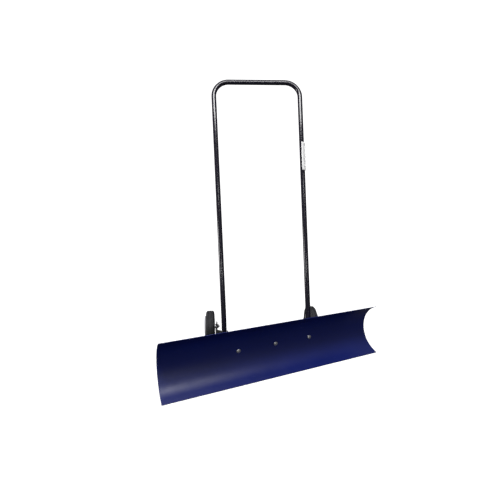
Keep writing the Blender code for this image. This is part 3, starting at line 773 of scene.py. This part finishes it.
def hex_bolt(name, node, size, length, body, place):
    """The underside of the head is at the origin and the shaft runs along local +Z."""
    face = FACE_SHARE * size.flats
    rings = [
        circle(face * 0.55, -size.head + 0.00025),
        circle(face * 0.62, -size.head),
        circle(face, -size.head),
        chamfered_hex(size.flats, -size.head + 0.0001),
        hex_ring(size.flats, -0.0007),
        hex_ring(size.flats * 0.985, -0.0004),
        circle(face, -0.0003),
        circle(face, 0.0),
    ]
    bm = skin(rings + shaft_rings(size, length))
    add_piece(name, bm, "zinc", body, node, place, sharp=FASTENER_SHARP)


def dome_bolt(name, node, length, body, place):
    """A carriage bolt: a domed round head whose underside is at the origin, and a shaft along local +Z."""
    rings = []
    for turn in spread(0.06 * math.pi / 2, math.pi / 2, 12):
        height = -DOME_RIM - (DOME_HEIGHT - DOME_RIM) * math.cos(turn)
        rings.append(circle(DOME_RADIUS * math.sin(turn), height))
    rings += [circle(DOME_RADIUS, -DOME_RIM / 2), circle(DOME_RADIUS * 0.975, 0.0)]
    bm = skin(rings + shaft_rings(M8, length))
    add_piece(name, bm, "zinc", body, node, place, sharp=FASTENER_SHARP)


def lock_nut(name, node, size, body, place):
    """A nut with a nylon ring, from the origin along local +Z."""
    flats, height = size.flats, size.nut
    bore = size.shaft + GAP
    hexagon = height * 0.70
    collar = 0.40 * flats
    rings = [
        circle(bore, 0.0),
        circle(FACE_SHARE * flats, 0.0),
        hex_ring(flats * 0.985, 0.0003),
        hex_ring(flats, 0.0006),
        hex_ring(flats, hexagon - 0.0012),
        circle(FACE_SHARE * flats, hexagon),
        circle(collar, hexagon + 0.0002),
        circle(collar, height - 0.0009),
        circle(collar * 0.94, height - 0.0002),
        circle(collar * 0.86, height),
        circle(collar * 0.80, height - 0.0003),
        circle(bore, height - 0.0004),
    ]
    bm = skin(rings, loop=True)
    for face in bm.faces:
        middle = face.calc_center_median()
        if middle.z > height - 0.0005 and math.hypot(middle.x, middle.y) < collar * 0.81:
            face.material_index = 1
    add_piece(name, bm, "zinc", body, node, place, sharp=FASTENER_SHARP, extra=NYLON)


def collar_piece(name, node, outer, inner, height, body, place):
    """A washer, spacer or sleeve with rounded edges, from the origin along local +Z."""
    edge = min(0.0004, height / 4)
    profile = [(inner, edge), (inner + edge, 0.0), (outer - edge, 0.0), (outer, edge)]
    profile += [(radius, height - rise) for radius, rise in reversed(profile)]
    bm = lathe(profile, WASHER_SIDES, loop=True)
    add_piece(name, bm, "zinc", body, node, place, sharp=FASTENER_SHARP)


def washer(name, node, size, body, place):
    collar_piece(name, node, size.washer, size.shaft + GAP, size.washer_height, body, place)


def blade_bolt_place(x, offset):
    """A point on a blade bolt's axis, at a distance behind the sheet's middle, with local +Z backwards."""
    turn = Matrix.Rotation(BLADE_BOLT_ANGLE - math.radians(90.0), 4, "X")
    return BLADE_FRAME @ move(x, *arc_station(BLADE_BOLT_ANGLE, offset)) @ turn


def add_blade_fasteners():
    front = -SHEET / 2 - 0.0007
    washer_at = SHEET / 2 + SADDLE_THICKNESS + 2 * GAP
    nut_at = washer_at + M8.washer_height + GAP
    length = nut_at + M8.nut + PAST_NUT - front
    for name, x in (("left", -BLADE_BOLT_SPACING), ("middle", 0.0), ("right", BLADE_BOLT_SPACING)):
        place = blade_bolt_place(x, front)
        dome_bolt(f"{name}_carriage_bolt", f"{name}_blade_bolt", length, "blade_unit", place)
        place = blade_bolt_place(x, washer_at)
        washer(f"{name}_saddle_washer", f"{name}_blade_washer", M8, "blade_unit", place)
        place = blade_bolt_place(x, nut_at)
        lock_nut(f"{name}_saddle_nut", f"{name}_blade_nut", M8, "blade_unit", place)


def add_pivot_fasteners():
    top = PIVOT_PLATE_LOW + PLATE + GAP
    washer_at = SWIVEL_LOW - GAP
    nut_at = washer_at - M12.washer_height - GAP
    length = top - nut_at + M12.nut + PAST_NUT

    def place(height):
        return ORIGIN @ move(0.0, 0.0, height) @ DOWNWARD

    hex_bolt("pivot_hex_bolt", "pivot_bolt", M12, length, "frame", place(top))
    washer("pivot_flat_washer", "pivot_washer", M12, "frame", place(washer_at))
    lock_nut("pivot_lock_nut", "pivot_nut", M12, "frame", place(nut_at))


def add_clamp():
    """The bolt and star knob that lock the swivel plate's slot to the pivot plate."""
    head = SWIVEL_LOW - GAP
    washer_at = PIVOT_PLATE_LOW + PLATE + GAP
    knob_at = washer_at + M8.washer_height + GAP
    length = knob_at + CLAMP_THREAD - head

    def place(height):
        return ORIGIN @ move(0.0, SLOT_RADIUS, height)

    dome_bolt("clamp_carriage_bolt", "clamp_bolt", length, "frame", place(head))
    washer("clamp_flat_washer", "clamp_washer", M8, "frame", place(washer_at))
    add_knob(place(knob_at), M8.shaft + GAP)


def add_knob(place, bore):
    """A star knob from (radius, depth of its lobes, height) stations."""
    profile = [
        (0.0105, 0.0, 0.0), (0.0118, 0.0, 0.0004), (0.0120, 0.0, 0.0012), (0.0120, 0.0, 0.0040),
        (0.0128, 0.0004, 0.0054), (0.0152, 0.0015, 0.0062), (0.0176, 0.0026, 0.0070), (0.0187, 0.0030, 0.0082),
        (0.0190, 0.0030, 0.0105), (0.0191, 0.0030, 0.0140), (0.0188, 0.0030, 0.0168), (0.0178, 0.0028, 0.0188),
        (0.0160, 0.0022, 0.0202), (0.0138, 0.0014, 0.0209), (0.0112, 0.0004, 0.0210), (0.0092, 0.0, 0.0207),
        (0.0086, 0.0, 0.0199), (0.0062, 0.0, 0.0199), (0.0056, 0.0, 0.0206), (0.0048, 0.0, 0.0207),
        (bore, 0.0, 0.0202), (bore, 0.0, 0.0006),
    ]
    bm = skin([lobed(radius, wave, height) for radius, wave, height in profile], loop=True)
    add_piece("star_knob", bm, "black_plastic", "knob", "clamp_knob", place, sharp=50.0)


def lobed(radius, wave, height, lobes=6, sides=120):
    ring = []
    for turn in full_turn(sides):
        reach = radius + wave * math.cos(lobes * turn)
        ring.append((reach * math.cos(turn), reach * math.sin(turn), height))
    return ring


# ---------------------------------------------------------------- handle, label and frame


def leg_y(height):
    return LEG_Y_AT_BLADE + (height - REAR_LINE_HEIGHT) * math.tan(LEAN)


def handle_path():
    """Centre line from the left foot over the top to the right foot, in the handle's leaning plane."""
    reach = BEND_RADIUS * math.tan((math.pi / 2 + LEG_FLARE) / 2)
    centre = Vector((reach - LEG_TOP_X, 0.0, HANDLE_LENGTH - BEND_RADIUS))
    kink = Vector((-LEG_FOOT_X, 0.0, STRAIGHT_FOOT))
    first = centre + upright(math.pi + LEG_FLARE) * BEND_RADIUS
    left = [Vector((-LEG_FOOT_X, 0.0, height)) for height in (0.0, 0.0008, 0.05)]
    left += [kink + (first - kink) * (k / 20) for k in range(20)]
    left += [centre + upright(t) * BEND_RADIUS for t in spread(math.pi + LEG_FLARE, math.pi / 2, BEND_STEPS)]
    return left + [mirrored(point) for point in reversed(left)]


def tube_ring(path, index, radius):
    """A ring across the path, mitred at its bends."""
    before = path[max(index - 1, 0)]
    after = path[min(index + 1, len(path) - 1)]
    up = Vector((0.0, 1.0, 0.0))
    across = up.cross((after - before).normalized())
    return [path[index] + (across * math.cos(t) + up * math.sin(t)) * radius for t in full_turn(SIDES)]


def add_handle():
    path = handle_path()
    last = len(path) - 1
    outer = [tube_ring(path, k, TUBE_SKIN - (0.0004 if k in (0, last) else 0.0)) for k in range(last + 1)]
    inner = [tube_ring(path, k, TUBE_RADIUS - TUBE_WALL) for k in range(last, -1, -1)]
    bm = skin(outer + inner, loop=True)
    add_piece("handle_tube", bm, "black_gloss_paint", "frame", "handle", HANDLE_FRAME)


def add_leg_plug(name, side):
    """A domed cap against the tube's open end and a stem inside it."""
    stem = TUBE_RADIUS - TUBE_WALL - GAP
    profile = [(0.0012, -0.0040), (TUBE_RADIUS * 0.55, -0.0039), (TUBE_RADIUS * 0.80, -0.0036)]
    profile += [(TUBE_RADIUS * 0.94, -0.0029), (TUBE_RADIUS, -0.0018), (TUBE_RADIUS, -GAP - 0.0002)]
    profile += [(TUBE_RADIUS - 0.0002, -GAP), (stem, -GAP), (stem, 0.0090), (stem - 0.0008, 0.010)]
    place = HANDLE_FRAME @ move(side * LEG_FOOT_X, 0.0, 0.0)
    bm = lathe(profile, SIDES)
    add_piece(f"{name}_foot_plug", bm, "black_plastic", "frame", f"{name}_leg_plug", place)


def label_outline():
    """Section of the label: it wraps the front and outer side of the leg, and its ends meet in a tab."""
    inner = TUBE_RADIUS + GAP
    outer = inner + LABEL_THICKNESS
    tab_angle = math.asin(LABEL_THICKNESS / outer)
    tab = [outer + 0.002, outer + 0.004, outer + LABEL_TAB - 0.0004, outer + LABEL_TAB]
    outline = arc_points((0.0, 0.0), inner, LABEL_FRONT, LABEL_BACK, 36)
    outline += arc_points((0.0, 0.0), outer, LABEL_BACK, tab_angle, 18)
    outline += [(x, LABEL_THICKNESS) for x in tab] + [(x, -LABEL_THICKNESS) for x in reversed(tab)]
    return outline + arc_points((0.0, 0.0), outer, -tab_angle, LABEL_FRONT, 18)


def add_label():
    """A blank flag label whose tab waves slightly."""
    low, high = LABEL_SPAN
    outer = TUBE_RADIUS + GAP + LABEL_THICKNESS
    heights = [low, low + 0.0006, low + 0.003] + spread(low + 0.010, high - 0.010, 20)
    heights += [high - 0.003, high - 0.0006, high]
    rings = []
    for z in heights:
        wave = 0.10 * math.sin(95.0 * z) + 0.05 * math.sin(230.0 * z + 1.0)
        rings.append([(x, y + wave * max(0.0, x - outer), z) for x, y in label_outline()])
    to_kink = move(LEG_FOOT_X, 0.0, STRAIGHT_FOOT)
    from_kink = move(0.0, 0.0, -STRAIGHT_FOOT)
    place = HANDLE_FRAME @ to_kink @ Matrix.Rotation(LEG_FLARE, 4, "Y") @ from_kink
    add_piece("blank_flag_label", skin(rings), "label_film", "frame", "blank_label", place, sharp=60.0)


def strap_path():
    """Centre line of the cross strap and its outward direction, from its left tab to its right tab."""
    end = LEG_FOOT_X - TUBE_RADIUS - GAP - PLATE / 2
    reach = STRAP_BEND - PLATE / 2
    centre = Vector((-end + reach, 0.0, STRAP_LOW + STRAP_BEND))
    tab = (STRAP_TOP, STRAP_TOP - 0.0008, STRAP_TOP - 0.003, STRAP_LOW + STRAP_BEND + 0.001)
    left = [(Vector((-end, 0.0, z)), Vector((-1.0, 0.0, 0.0))) for z in tab]
    left += [(centre + upright(t) * reach, upright(t)) for t in spread(math.pi, 1.5 * math.pi, 10)]
    middle = STRAP_LOW + PLATE / 2
    left += [(Vector((x, 0.0, middle)), Vector((0.0, 0.0, -1.0))) for x in (-0.12, -0.06)]
    return left + [(mirrored(point), mirrored(out)) for point, out in reversed(left)]


def add_cross_strap():
    middle = leg_y(LEG_BOLT_HEIGHTS[1])
    section = bar_section(2 * STRAP_HALF_WIDTH, PLATE, 0.0030)
    path = strap_path()
    rings = []
    for index, (point, out) in enumerate(path):
        across, through = (0.96, 0.6) if index in (0, len(path) - 1) else (1.0, 1.0)
        offsets = [Vector((0.0, middle + u * across, 0.0)) + out * v * through for u, v in section]
        rings.append([point + offset for offset in offsets])
    add_piece("cross_strap_bar", skin(rings), "black_frame_paint", "frame", "cross_strap", ORIGIN)


def arm_stations():
    """Depth, sideways centre, bottom and top of a wheel arm, from its front end to its rear end."""
    front = leg_y(LEG_BOLT_HEIGHTS[0]) - ARM_FRONT_MARGIN
    return [
        (front, ARM_LEG_X, 0.064, 0.112),
        (front + 0.006, ARM_LEG_X, 0.058, 0.118),
        (front + 0.042, ARM_LEG_X, 0.058, 0.118),
        (front + 0.052, ARM_LEG_X + 0.001, 0.057, 0.116),
        (front + 0.098, ARM_WHEEL_X - 0.001, 0.055, 0.106),
        (front + 0.108, ARM_WHEEL_X, 0.055, 0.104),
        (AXLE_Y + 0.012, ARM_WHEEL_X, 0.055, 0.097),
        (AXLE_Y + 0.020, ARM_WHEEL_X, 0.062, 0.090),
    ]


def interpolate(stations, depth):
    for a, b in zip(stations, stations[1:]):
        if depth <= b[0]:
            share = (depth - a[0]) / (b[0] - a[0])
            return [p + (q - p) * share for p, q in zip(a, b)]
    return stations[-1]


def add_wheel_arm(name, side):
    stations = arm_stations()
    first, last = stations[0][0], stations[-1][0]
    depths = [first, first + 0.0008] + spread(first + 0.002, last - 0.002, 60) + [last - 0.0008, last]
    rings = []
    for depth in depths:
        _, middle, low, high = interpolate(stations, depth)
        trim, shrink = (0.0016, 0.6) if depth in (first, last) else (0.0, 1.0)
        section = bar_section(high - low - trim, ARM_THICKNESS, 0.0032)
        rings.append([(side * (middle + v * shrink), depth, (low + high) / 2 + u) for u, v in section])
    bm = skin(rings)
    add_piece(f"{name}_wheel_arm_plate", bm, "black_frame_paint", "frame", f"{name}_wheel_arm", ORIGIN)


def add_leg_fasteners(name, side):
    head = LEG_FOOT_X + TUBE_RADIUS + ARM_THICKNESS + 2 * GAP
    inside_leg = LEG_FOOT_X - TUBE_RADIUS - GAP
    nuts = (inside_leg, inside_leg - PLATE - GAP)
    turn = ALONG_MINUS_X if side > 0 else ALONG_X
    for level, height, nut in zip(("lower", "upper"), LEG_BOLT_HEIGHTS, nuts):
        length = head - nut + M8.nut + PAST_NUT
        place = ORIGIN @ move(side * head, leg_y(height), height) @ turn
        hex_bolt(f"{name}_{level}_leg_hex_bolt", f"{name}_{level}_leg_bolt", M8, length, "frame", place)
        place = ORIGIN @ move(side * nut, leg_y(height), height) @ turn
        lock_nut(f"{name}_{level}_leg_lock_nut", f"{name}_{level}_leg_nut", M8, "frame", place)


# ---------------------------------------------------------------- wheels


def wheel_place(side, x, outward=True):
    """A point on a wheel's axle, with local +Z along it."""
    turn = ALONG_X if (side > 0) == outward else ALONG_MINUS_X
    return ORIGIN @ move(side * x, AXLE_Y, WHEEL_RADIUS) @ turn


def add_axle(name, side):
    """The fixed bolt, sleeve, spacer, washer and nut that a wheel turns on."""
    bore = M10.shaft + GAP
    arm_outside = ARM_WHEEL_X + ARM_THICKNESS / 2 + GAP
    wheel_inside = WHEEL_X - WHEEL_HALF
    spacer = wheel_inside - 2 * GAP - arm_outside
    sleeve = WHEEL_WIDTH - HUB_SINK
    washer_at = wheel_inside + sleeve + GAP
    head = washer_at + M10.washer_height + GAP
    nut = ARM_WHEEL_X - ARM_THICKNESS / 2 - GAP
    length = head - nut + M10.nut + PAST_NUT
    for part, radius, height, x in (
        ("spacer", SPACER_RADIUS, spacer, arm_outside),
        ("sleeve", SLEEVE_RADIUS, sleeve, wheel_inside),
    ):
        place = wheel_place(side, x)
        collar_piece(f"{name}_hub_{part}", f"{name}_axle_{part}", radius, bore, height, "frame", place)
    washer(f"{name}_hub_washer", f"{name}_axle_washer", M10, "frame", wheel_place(side, washer_at))
    place = wheel_place(side, head, outward=False)
    hex_bolt(f"{name}_axle_hex_bolt", f"{name}_axle_bolt", M10, length, "frame", place)
    place = wheel_place(side, nut, outward=False)
    lock_nut(f"{name}_axle_lock_nut", f"{name}_axle_nut", M10, "frame", place)


def tyre_profile():
    """(radius, height, zone) from the inner bead over the tread to its middle, for one half of the tyre."""
    seat = RIM_RADIUS + GAP
    bead = [
        (0.0, 0.0045), (0.0, 0.0040), (0.0010, 0.0032), (0.0022, 0.0026), (0.0030, 0.0014), (0.0042, 0.0010),
        (0.0055, 0.0014), (0.0064, 0.0012), (0.0090, 0.0004), (0.0120, 0.0), (0.0122, 0.0), (0.0150, 0.0002),
    ]
    wall = [(0.0060, 0.0007), (0.0056, 0.0016), (0.0050, 0.0017), (0.0040, 0.0024)]
    shoulder = [(0.0022, 0.0038), (0.0012, 0.0055)]
    profile = [(seat + beyond, depth - WHEEL_HALF, "side") for beyond, depth in bead]
    profile += [(WHEEL_RADIUS - below, depth - WHEEL_HALF, "side") for below, depth in wall]
    profile += [(WHEEL_RADIUS - below, depth - WHEEL_HALF, "shoulder") for below, depth in shoulder]
    for zone, heights in (
        ("shoulder", (-TREAD_EDGE, -0.0122, -0.0100, -0.0078, -GROOVE_EDGE)),
        ("groove", (-0.0062, -0.0044)),
        ("rib", (-0.0040, -0.0020)),
    ):
        for height in heights:
            profile.append((WHEEL_RADIUS - TREAD_CROWN * (height / TREAD_EDGE) ** 2, height, zone))
    return profile


def tread_ring(radius, height, zone, shift):
    """A ring of the tyre, cut by the shoulder's slots and the groove, and which points are tread."""
    ring = []
    tread = []
    if zone in ("shoulder", "groove"):
        shift += TREAD_SLANT * LUG_PITCH * (abs(height) - GROOVE_EDGE) / (TREAD_EDGE - GROOVE_EDGE)
    for lug in range(TREAD_LUGS):
        for share in (0.0, *SLOT_SHARES, 0.25, 0.50, 0.75):
            cut = zone == "groove" or (zone == "shoulder" and share in SLOT_SHARES)
            reach = radius - (GROOVE_DEPTH if cut else 0.0)
            angle = (lug + share) * LUG_PITCH + shift
            ring.append((reach * math.cos(angle), reach * math.sin(angle), height))
            tread.append(0.0 if cut or zone == "side" else 1.0)
    return ring, tread


def add_tyre(name, place):
    """The tread's two halves are staggered by half a lug."""
    rings = []
    tread = []
    for radius, height, zone in tyre_profile():
        ring, mask = tread_ring(radius, height, zone, 0.0)
        rings.append(ring)
        tread += mask
    for radius, height, zone in reversed(tyre_profile()):
        ring, mask = tread_ring(radius, -height, zone, 0.5 * LUG_PITCH)
        rings.append(ring)
        tread += mask
    bm = skin(rings, loop=True)
    masks = {"tread": dict(enumerate(tread))}
    add_piece(f"{name}_treaded_tyre", bm, "tyre_rubber", f"{name}_wheel", f"{name}_tyre", place, masks)


def rim_side(hub, lip):
    """(radius, height, ribbed) stations of one face of the rim, from its bore to the tyre's seat."""
    web = WEB_HALF
    return [
        (0.0078, hub - 0.0006, False), (0.0084, hub, False), (0.0148, hub, False),
        (0.0157, hub - 0.0005, False), (HUB_RADIUS, hub - 0.0014, False), (0.0164, web + 0.0030, False),
        (0.0168, web + 0.0010, True), (0.0180, web, True), (0.0220, web, True), (0.0280, web, True),
        (0.0340, web, True), (0.0390, web, True), (0.0405, web + 0.0006, True), (0.0414, web + 0.0022, True),
        (0.0432, lip - 0.0020, False), (0.0436, lip - 0.0006, False), (0.0442, lip, False),
        (0.0496, lip, False), (0.0506, lip - 0.0004, False), (0.0512, lip - 0.0014, False),
        (RIM_RADIUS, lip - 0.0030, False), (RIM_RADIUS, 0.0100, False),
    ]


def rim_turns(radius):
    """Angles round the rim with stations at the edges of each rib, and whether each lies on a rib."""
    inner = min(RIB_HALF / radius, RIB_PITCH * 0.30)
    outer = min((RIB_HALF + RIB_EDGE) / radius, RIB_PITCH * 0.36)
    turns = []
    for rib in range(RIM_RIBS):
        centre = rib * RIB_PITCH
        turns += [(centre - inner, True), (centre, True), (centre + inner, True), (centre + outer, False)]
        turns += [(centre + outer + (RIB_PITCH - 2 * outer) * k / 8, False) for k in range(1, 9)]
    return turns


def rim_ring(radius, height, ribbed, direction, rib_top):
    ring = []
    for turn, on_rib in rim_turns(radius):
        z = height
        if ribbed and on_rib:
            z = max(height, rib_top - RIB_FALL * (radius - HUB_RADIUS))
        ring.append((radius * math.cos(turn), radius * math.sin(turn), direction * z))
    return ring


def add_rim(name, place):
    outer = rim_side(WHEEL_HALF - HUB_SINK - HUB_PLAY, WHEEL_HALF + RIM_PROUD)
    inner = rim_side(WHEEL_HALF - HUB_PLAY, WHEEL_HALF - 0.0030)
    rings = []
    recess_shade = []
    for face, direction, rib_top in (
        (outer, 1, WHEEL_HALF + RIM_PROUD - 0.004),
        (reversed(inner), -1, WHEEL_HALF - 0.0065),
    ):
        for radius, height, ribbed in face:
            ring = rim_ring(radius, height, ribbed, direction, rib_top)
            # Marks the sunken web between the ribs, where the rim's material paints its shade.
            recess_shade += [0.8 if ribbed and abs(point[2]) < 0.008 else 0.0 for point in ring]
            rings.append(ring)
    bm = skin(rings, loop=True)
    masks = {"recess_shade": dict(enumerate(recess_shade))}
    add_piece(f"{name}_spoked_rim", bm, "rim_plastic", f"{name}_wheel", f"{name}_rim", place, masks)


# ---------------------------------------------------------------- camera, light and floor

LENS_MM = 23.21424
SENSOR_MM = 36.0
CAMERA_PLACE = (-0.2007, -1.3157, 0.5706)
CAMERA_YAW = math.radians(4.468)
CAMERA_PITCH = math.radians(4.617)
CAMERA_ROLL = math.radians(1.369)
STUDIO_RADIUS = 5.0
FLOOR_DROP = 0.0005

# Place, point that it faces, width and height, and radiance of each light.
SOFTBOXES = {
    "key": ((-0.16, -0.82, 1.96), (-0.05, -0.1, 0.1), (1.20, 0.28), 22.0),
    "second": ((0.5, -4.0, 2.73), (0.0, 0.1, 0.7), (1.8, 0.20), 14.0),
    "third": ((0.3, -4.0, 1.27), (0.0, 0.1, 0.4), (1.6, 0.09), 24.0),
    "side": ((-3.0, -0.3, 0.8), (0.0, 0.2, 0.1), (1.4, 0.6), 11.0),
}


def add_camera():
    level = Vector((math.cos(CAMERA_YAW), -math.sin(CAMERA_YAW), 0.0))
    ahead = Vector((math.sin(CAMERA_YAW), math.cos(CAMERA_YAW), 0.0))
    forward = ahead * math.cos(CAMERA_PITCH) + Vector((0.0, 0.0, -math.sin(CAMERA_PITCH)))
    down = forward.cross(level)
    right = level * math.cos(CAMERA_ROLL) + down * math.sin(CAMERA_ROLL)
    up = level * math.sin(CAMERA_ROLL) - down * math.cos(CAMERA_ROLL)
    data = bpy.data.cameras.new("camera")
    data.sensor_width = SENSOR_MM
    data.lens = LENS_MM
    camera = bpy.data.objects.new("camera", data)
    rotation = Matrix((right, up, -forward)).transposed().to_4x4()
    camera.matrix_world = Matrix.Translation(CAMERA_PLACE) @ rotation
    bpy.context.scene.collection.objects.link(camera)
    bpy.context.scene.camera = camera


def add_softbox(name, place, target, size, radiance):
    """A rectangular light whose brightness is set by the radiance of its face."""
    data = bpy.data.lights.new(name, "AREA")
    data.shape = "RECTANGLE"
    data.size, data.size_y = size
    data.energy = radiance * size[0] * size[1] * math.pi
    light = bpy.data.objects.new(name, data)
    light.location = place
    direction = Vector(target) - Vector(place)
    light.rotation_mode = "QUATERNION"
    light.rotation_quaternion = direction.to_track_quat("-Z", "Y")
    light.visible_camera = False
    bpy.context.scene.collection.objects.link(light)


def add_world():
    """Soft grey light that is brightest overhead."""
    world = bpy.data.worlds.new("studio")
    bpy.context.scene.world = world
    world.use_nodes = True
    tree = world.node_tree
    coordinates = tree.nodes.new("ShaderNodeTexCoord")
    split = tree.nodes.new("ShaderNodeSeparateXYZ")
    shift = tree.nodes.new("ShaderNodeMapRange")
    shift.inputs["From Min"].default_value = -1.0
    ramp = tree.nodes.new("ShaderNodeValToRGB")
    dim, bright = ramp.color_ramp.elements
    dim.position, dim.color = 0.35, (0.080, 0.080, 0.080, 1.0)
    bright.position, bright.color = 0.95, (0.26, 0.26, 0.27, 1.0)
    tree.links.new(coordinates.outputs["Generated"], split.inputs["Vector"])
    tree.links.new(split.outputs["Z"], shift.inputs["Value"])
    tree.links.new(shift.outputs["Result"], ramp.inputs["Fac"])
    tree.links.new(ramp.outputs["Color"], tree.nodes["Background"].inputs["Color"])


def backdrop_profile():
    """Radius and height of a round studio floor that turns up into a dome."""
    floor = [(radius, 0.0) for radius in (0.01, 0.5, 1.0, 1.6, 2.4, 3.2, 4.0, STUDIO_RADIUS)]
    turns = spread(0.0, math.radians(88.0), 24)[1:]
    return floor + [(STUDIO_RADIUS * math.cos(t), STUDIO_RADIUS * math.sin(t)) for t in turns]


def studio_white():
    """Pale paint that also glows, a little less around the object, where its soft shade lies."""
    g = Graph("studio_floor_looks")
    colour = g.drift(g.noise(3.0), 0.3, 0.7, (0.86, 0.86, 0.86), (0.89, 0.89, 0.89))
    g.link(colour, g.shader.inputs["Base Color"])
    g.shader.inputs["Roughness"].default_value = 0.9
    g.shader.inputs["Specular IOR Level"].default_value = 0.0
    g.shader.inputs["Emission Color"].default_value = (1.0, 1.0, 1.0, 1.0)
    length = g.node("ShaderNodeVectorMath")
    length.operation = "LENGTH"
    g.link(g.coordinates, length.inputs[0])
    g.link(g.remap(length.outputs["Value"], 0.9, 2.6, 0.80, 1.05), g.shader.inputs["Emission Strength"])
    return g.material


def add_backdrop():
    bm = lathe(backdrop_profile(), 96)
    mesh = bpy.data.meshes.new("studio_floor")
    bm.to_mesh(mesh)
    bm.free()
    mesh.shade_smooth()
    mesh.materials.append(studio_white())
    floor = bpy.data.objects.new("studio_floor", mesh)
    floor.location.z = -FLOOR_DROP
    bpy.context.scene.collection.objects.link(floor)
    floor.visible_diffuse = False
    floor.visible_glossy = False
    floor.visible_shadow = False


add_blade()
add_saddle()
add_swivel_plate()
add_pivot_plate()
add_welds()
add_blade_fasteners()
add_pivot_fasteners()
add_clamp()
add_handle()
for side_name, side_sign in BOTH_SIDES:
    add_leg_plug(side_name, side_sign)
add_label()
add_cross_strap()
for side_name, side_sign in BOTH_SIDES:
    add_wheel_arm(side_name, side_sign)
    add_leg_fasteners(side_name, side_sign)
    add_axle(side_name, side_sign)
    add_tyre(side_name, wheel_place(side_sign, WHEEL_X))
    add_rim(side_name, wheel_place(side_sign, WHEEL_X))
add_camera()
add_world()
for box_name, box in SOFTBOXES.items():
    add_softbox(box_name, *box)
add_backdrop()
bpy.context.scene.view_settings.view_transform = "Standard"
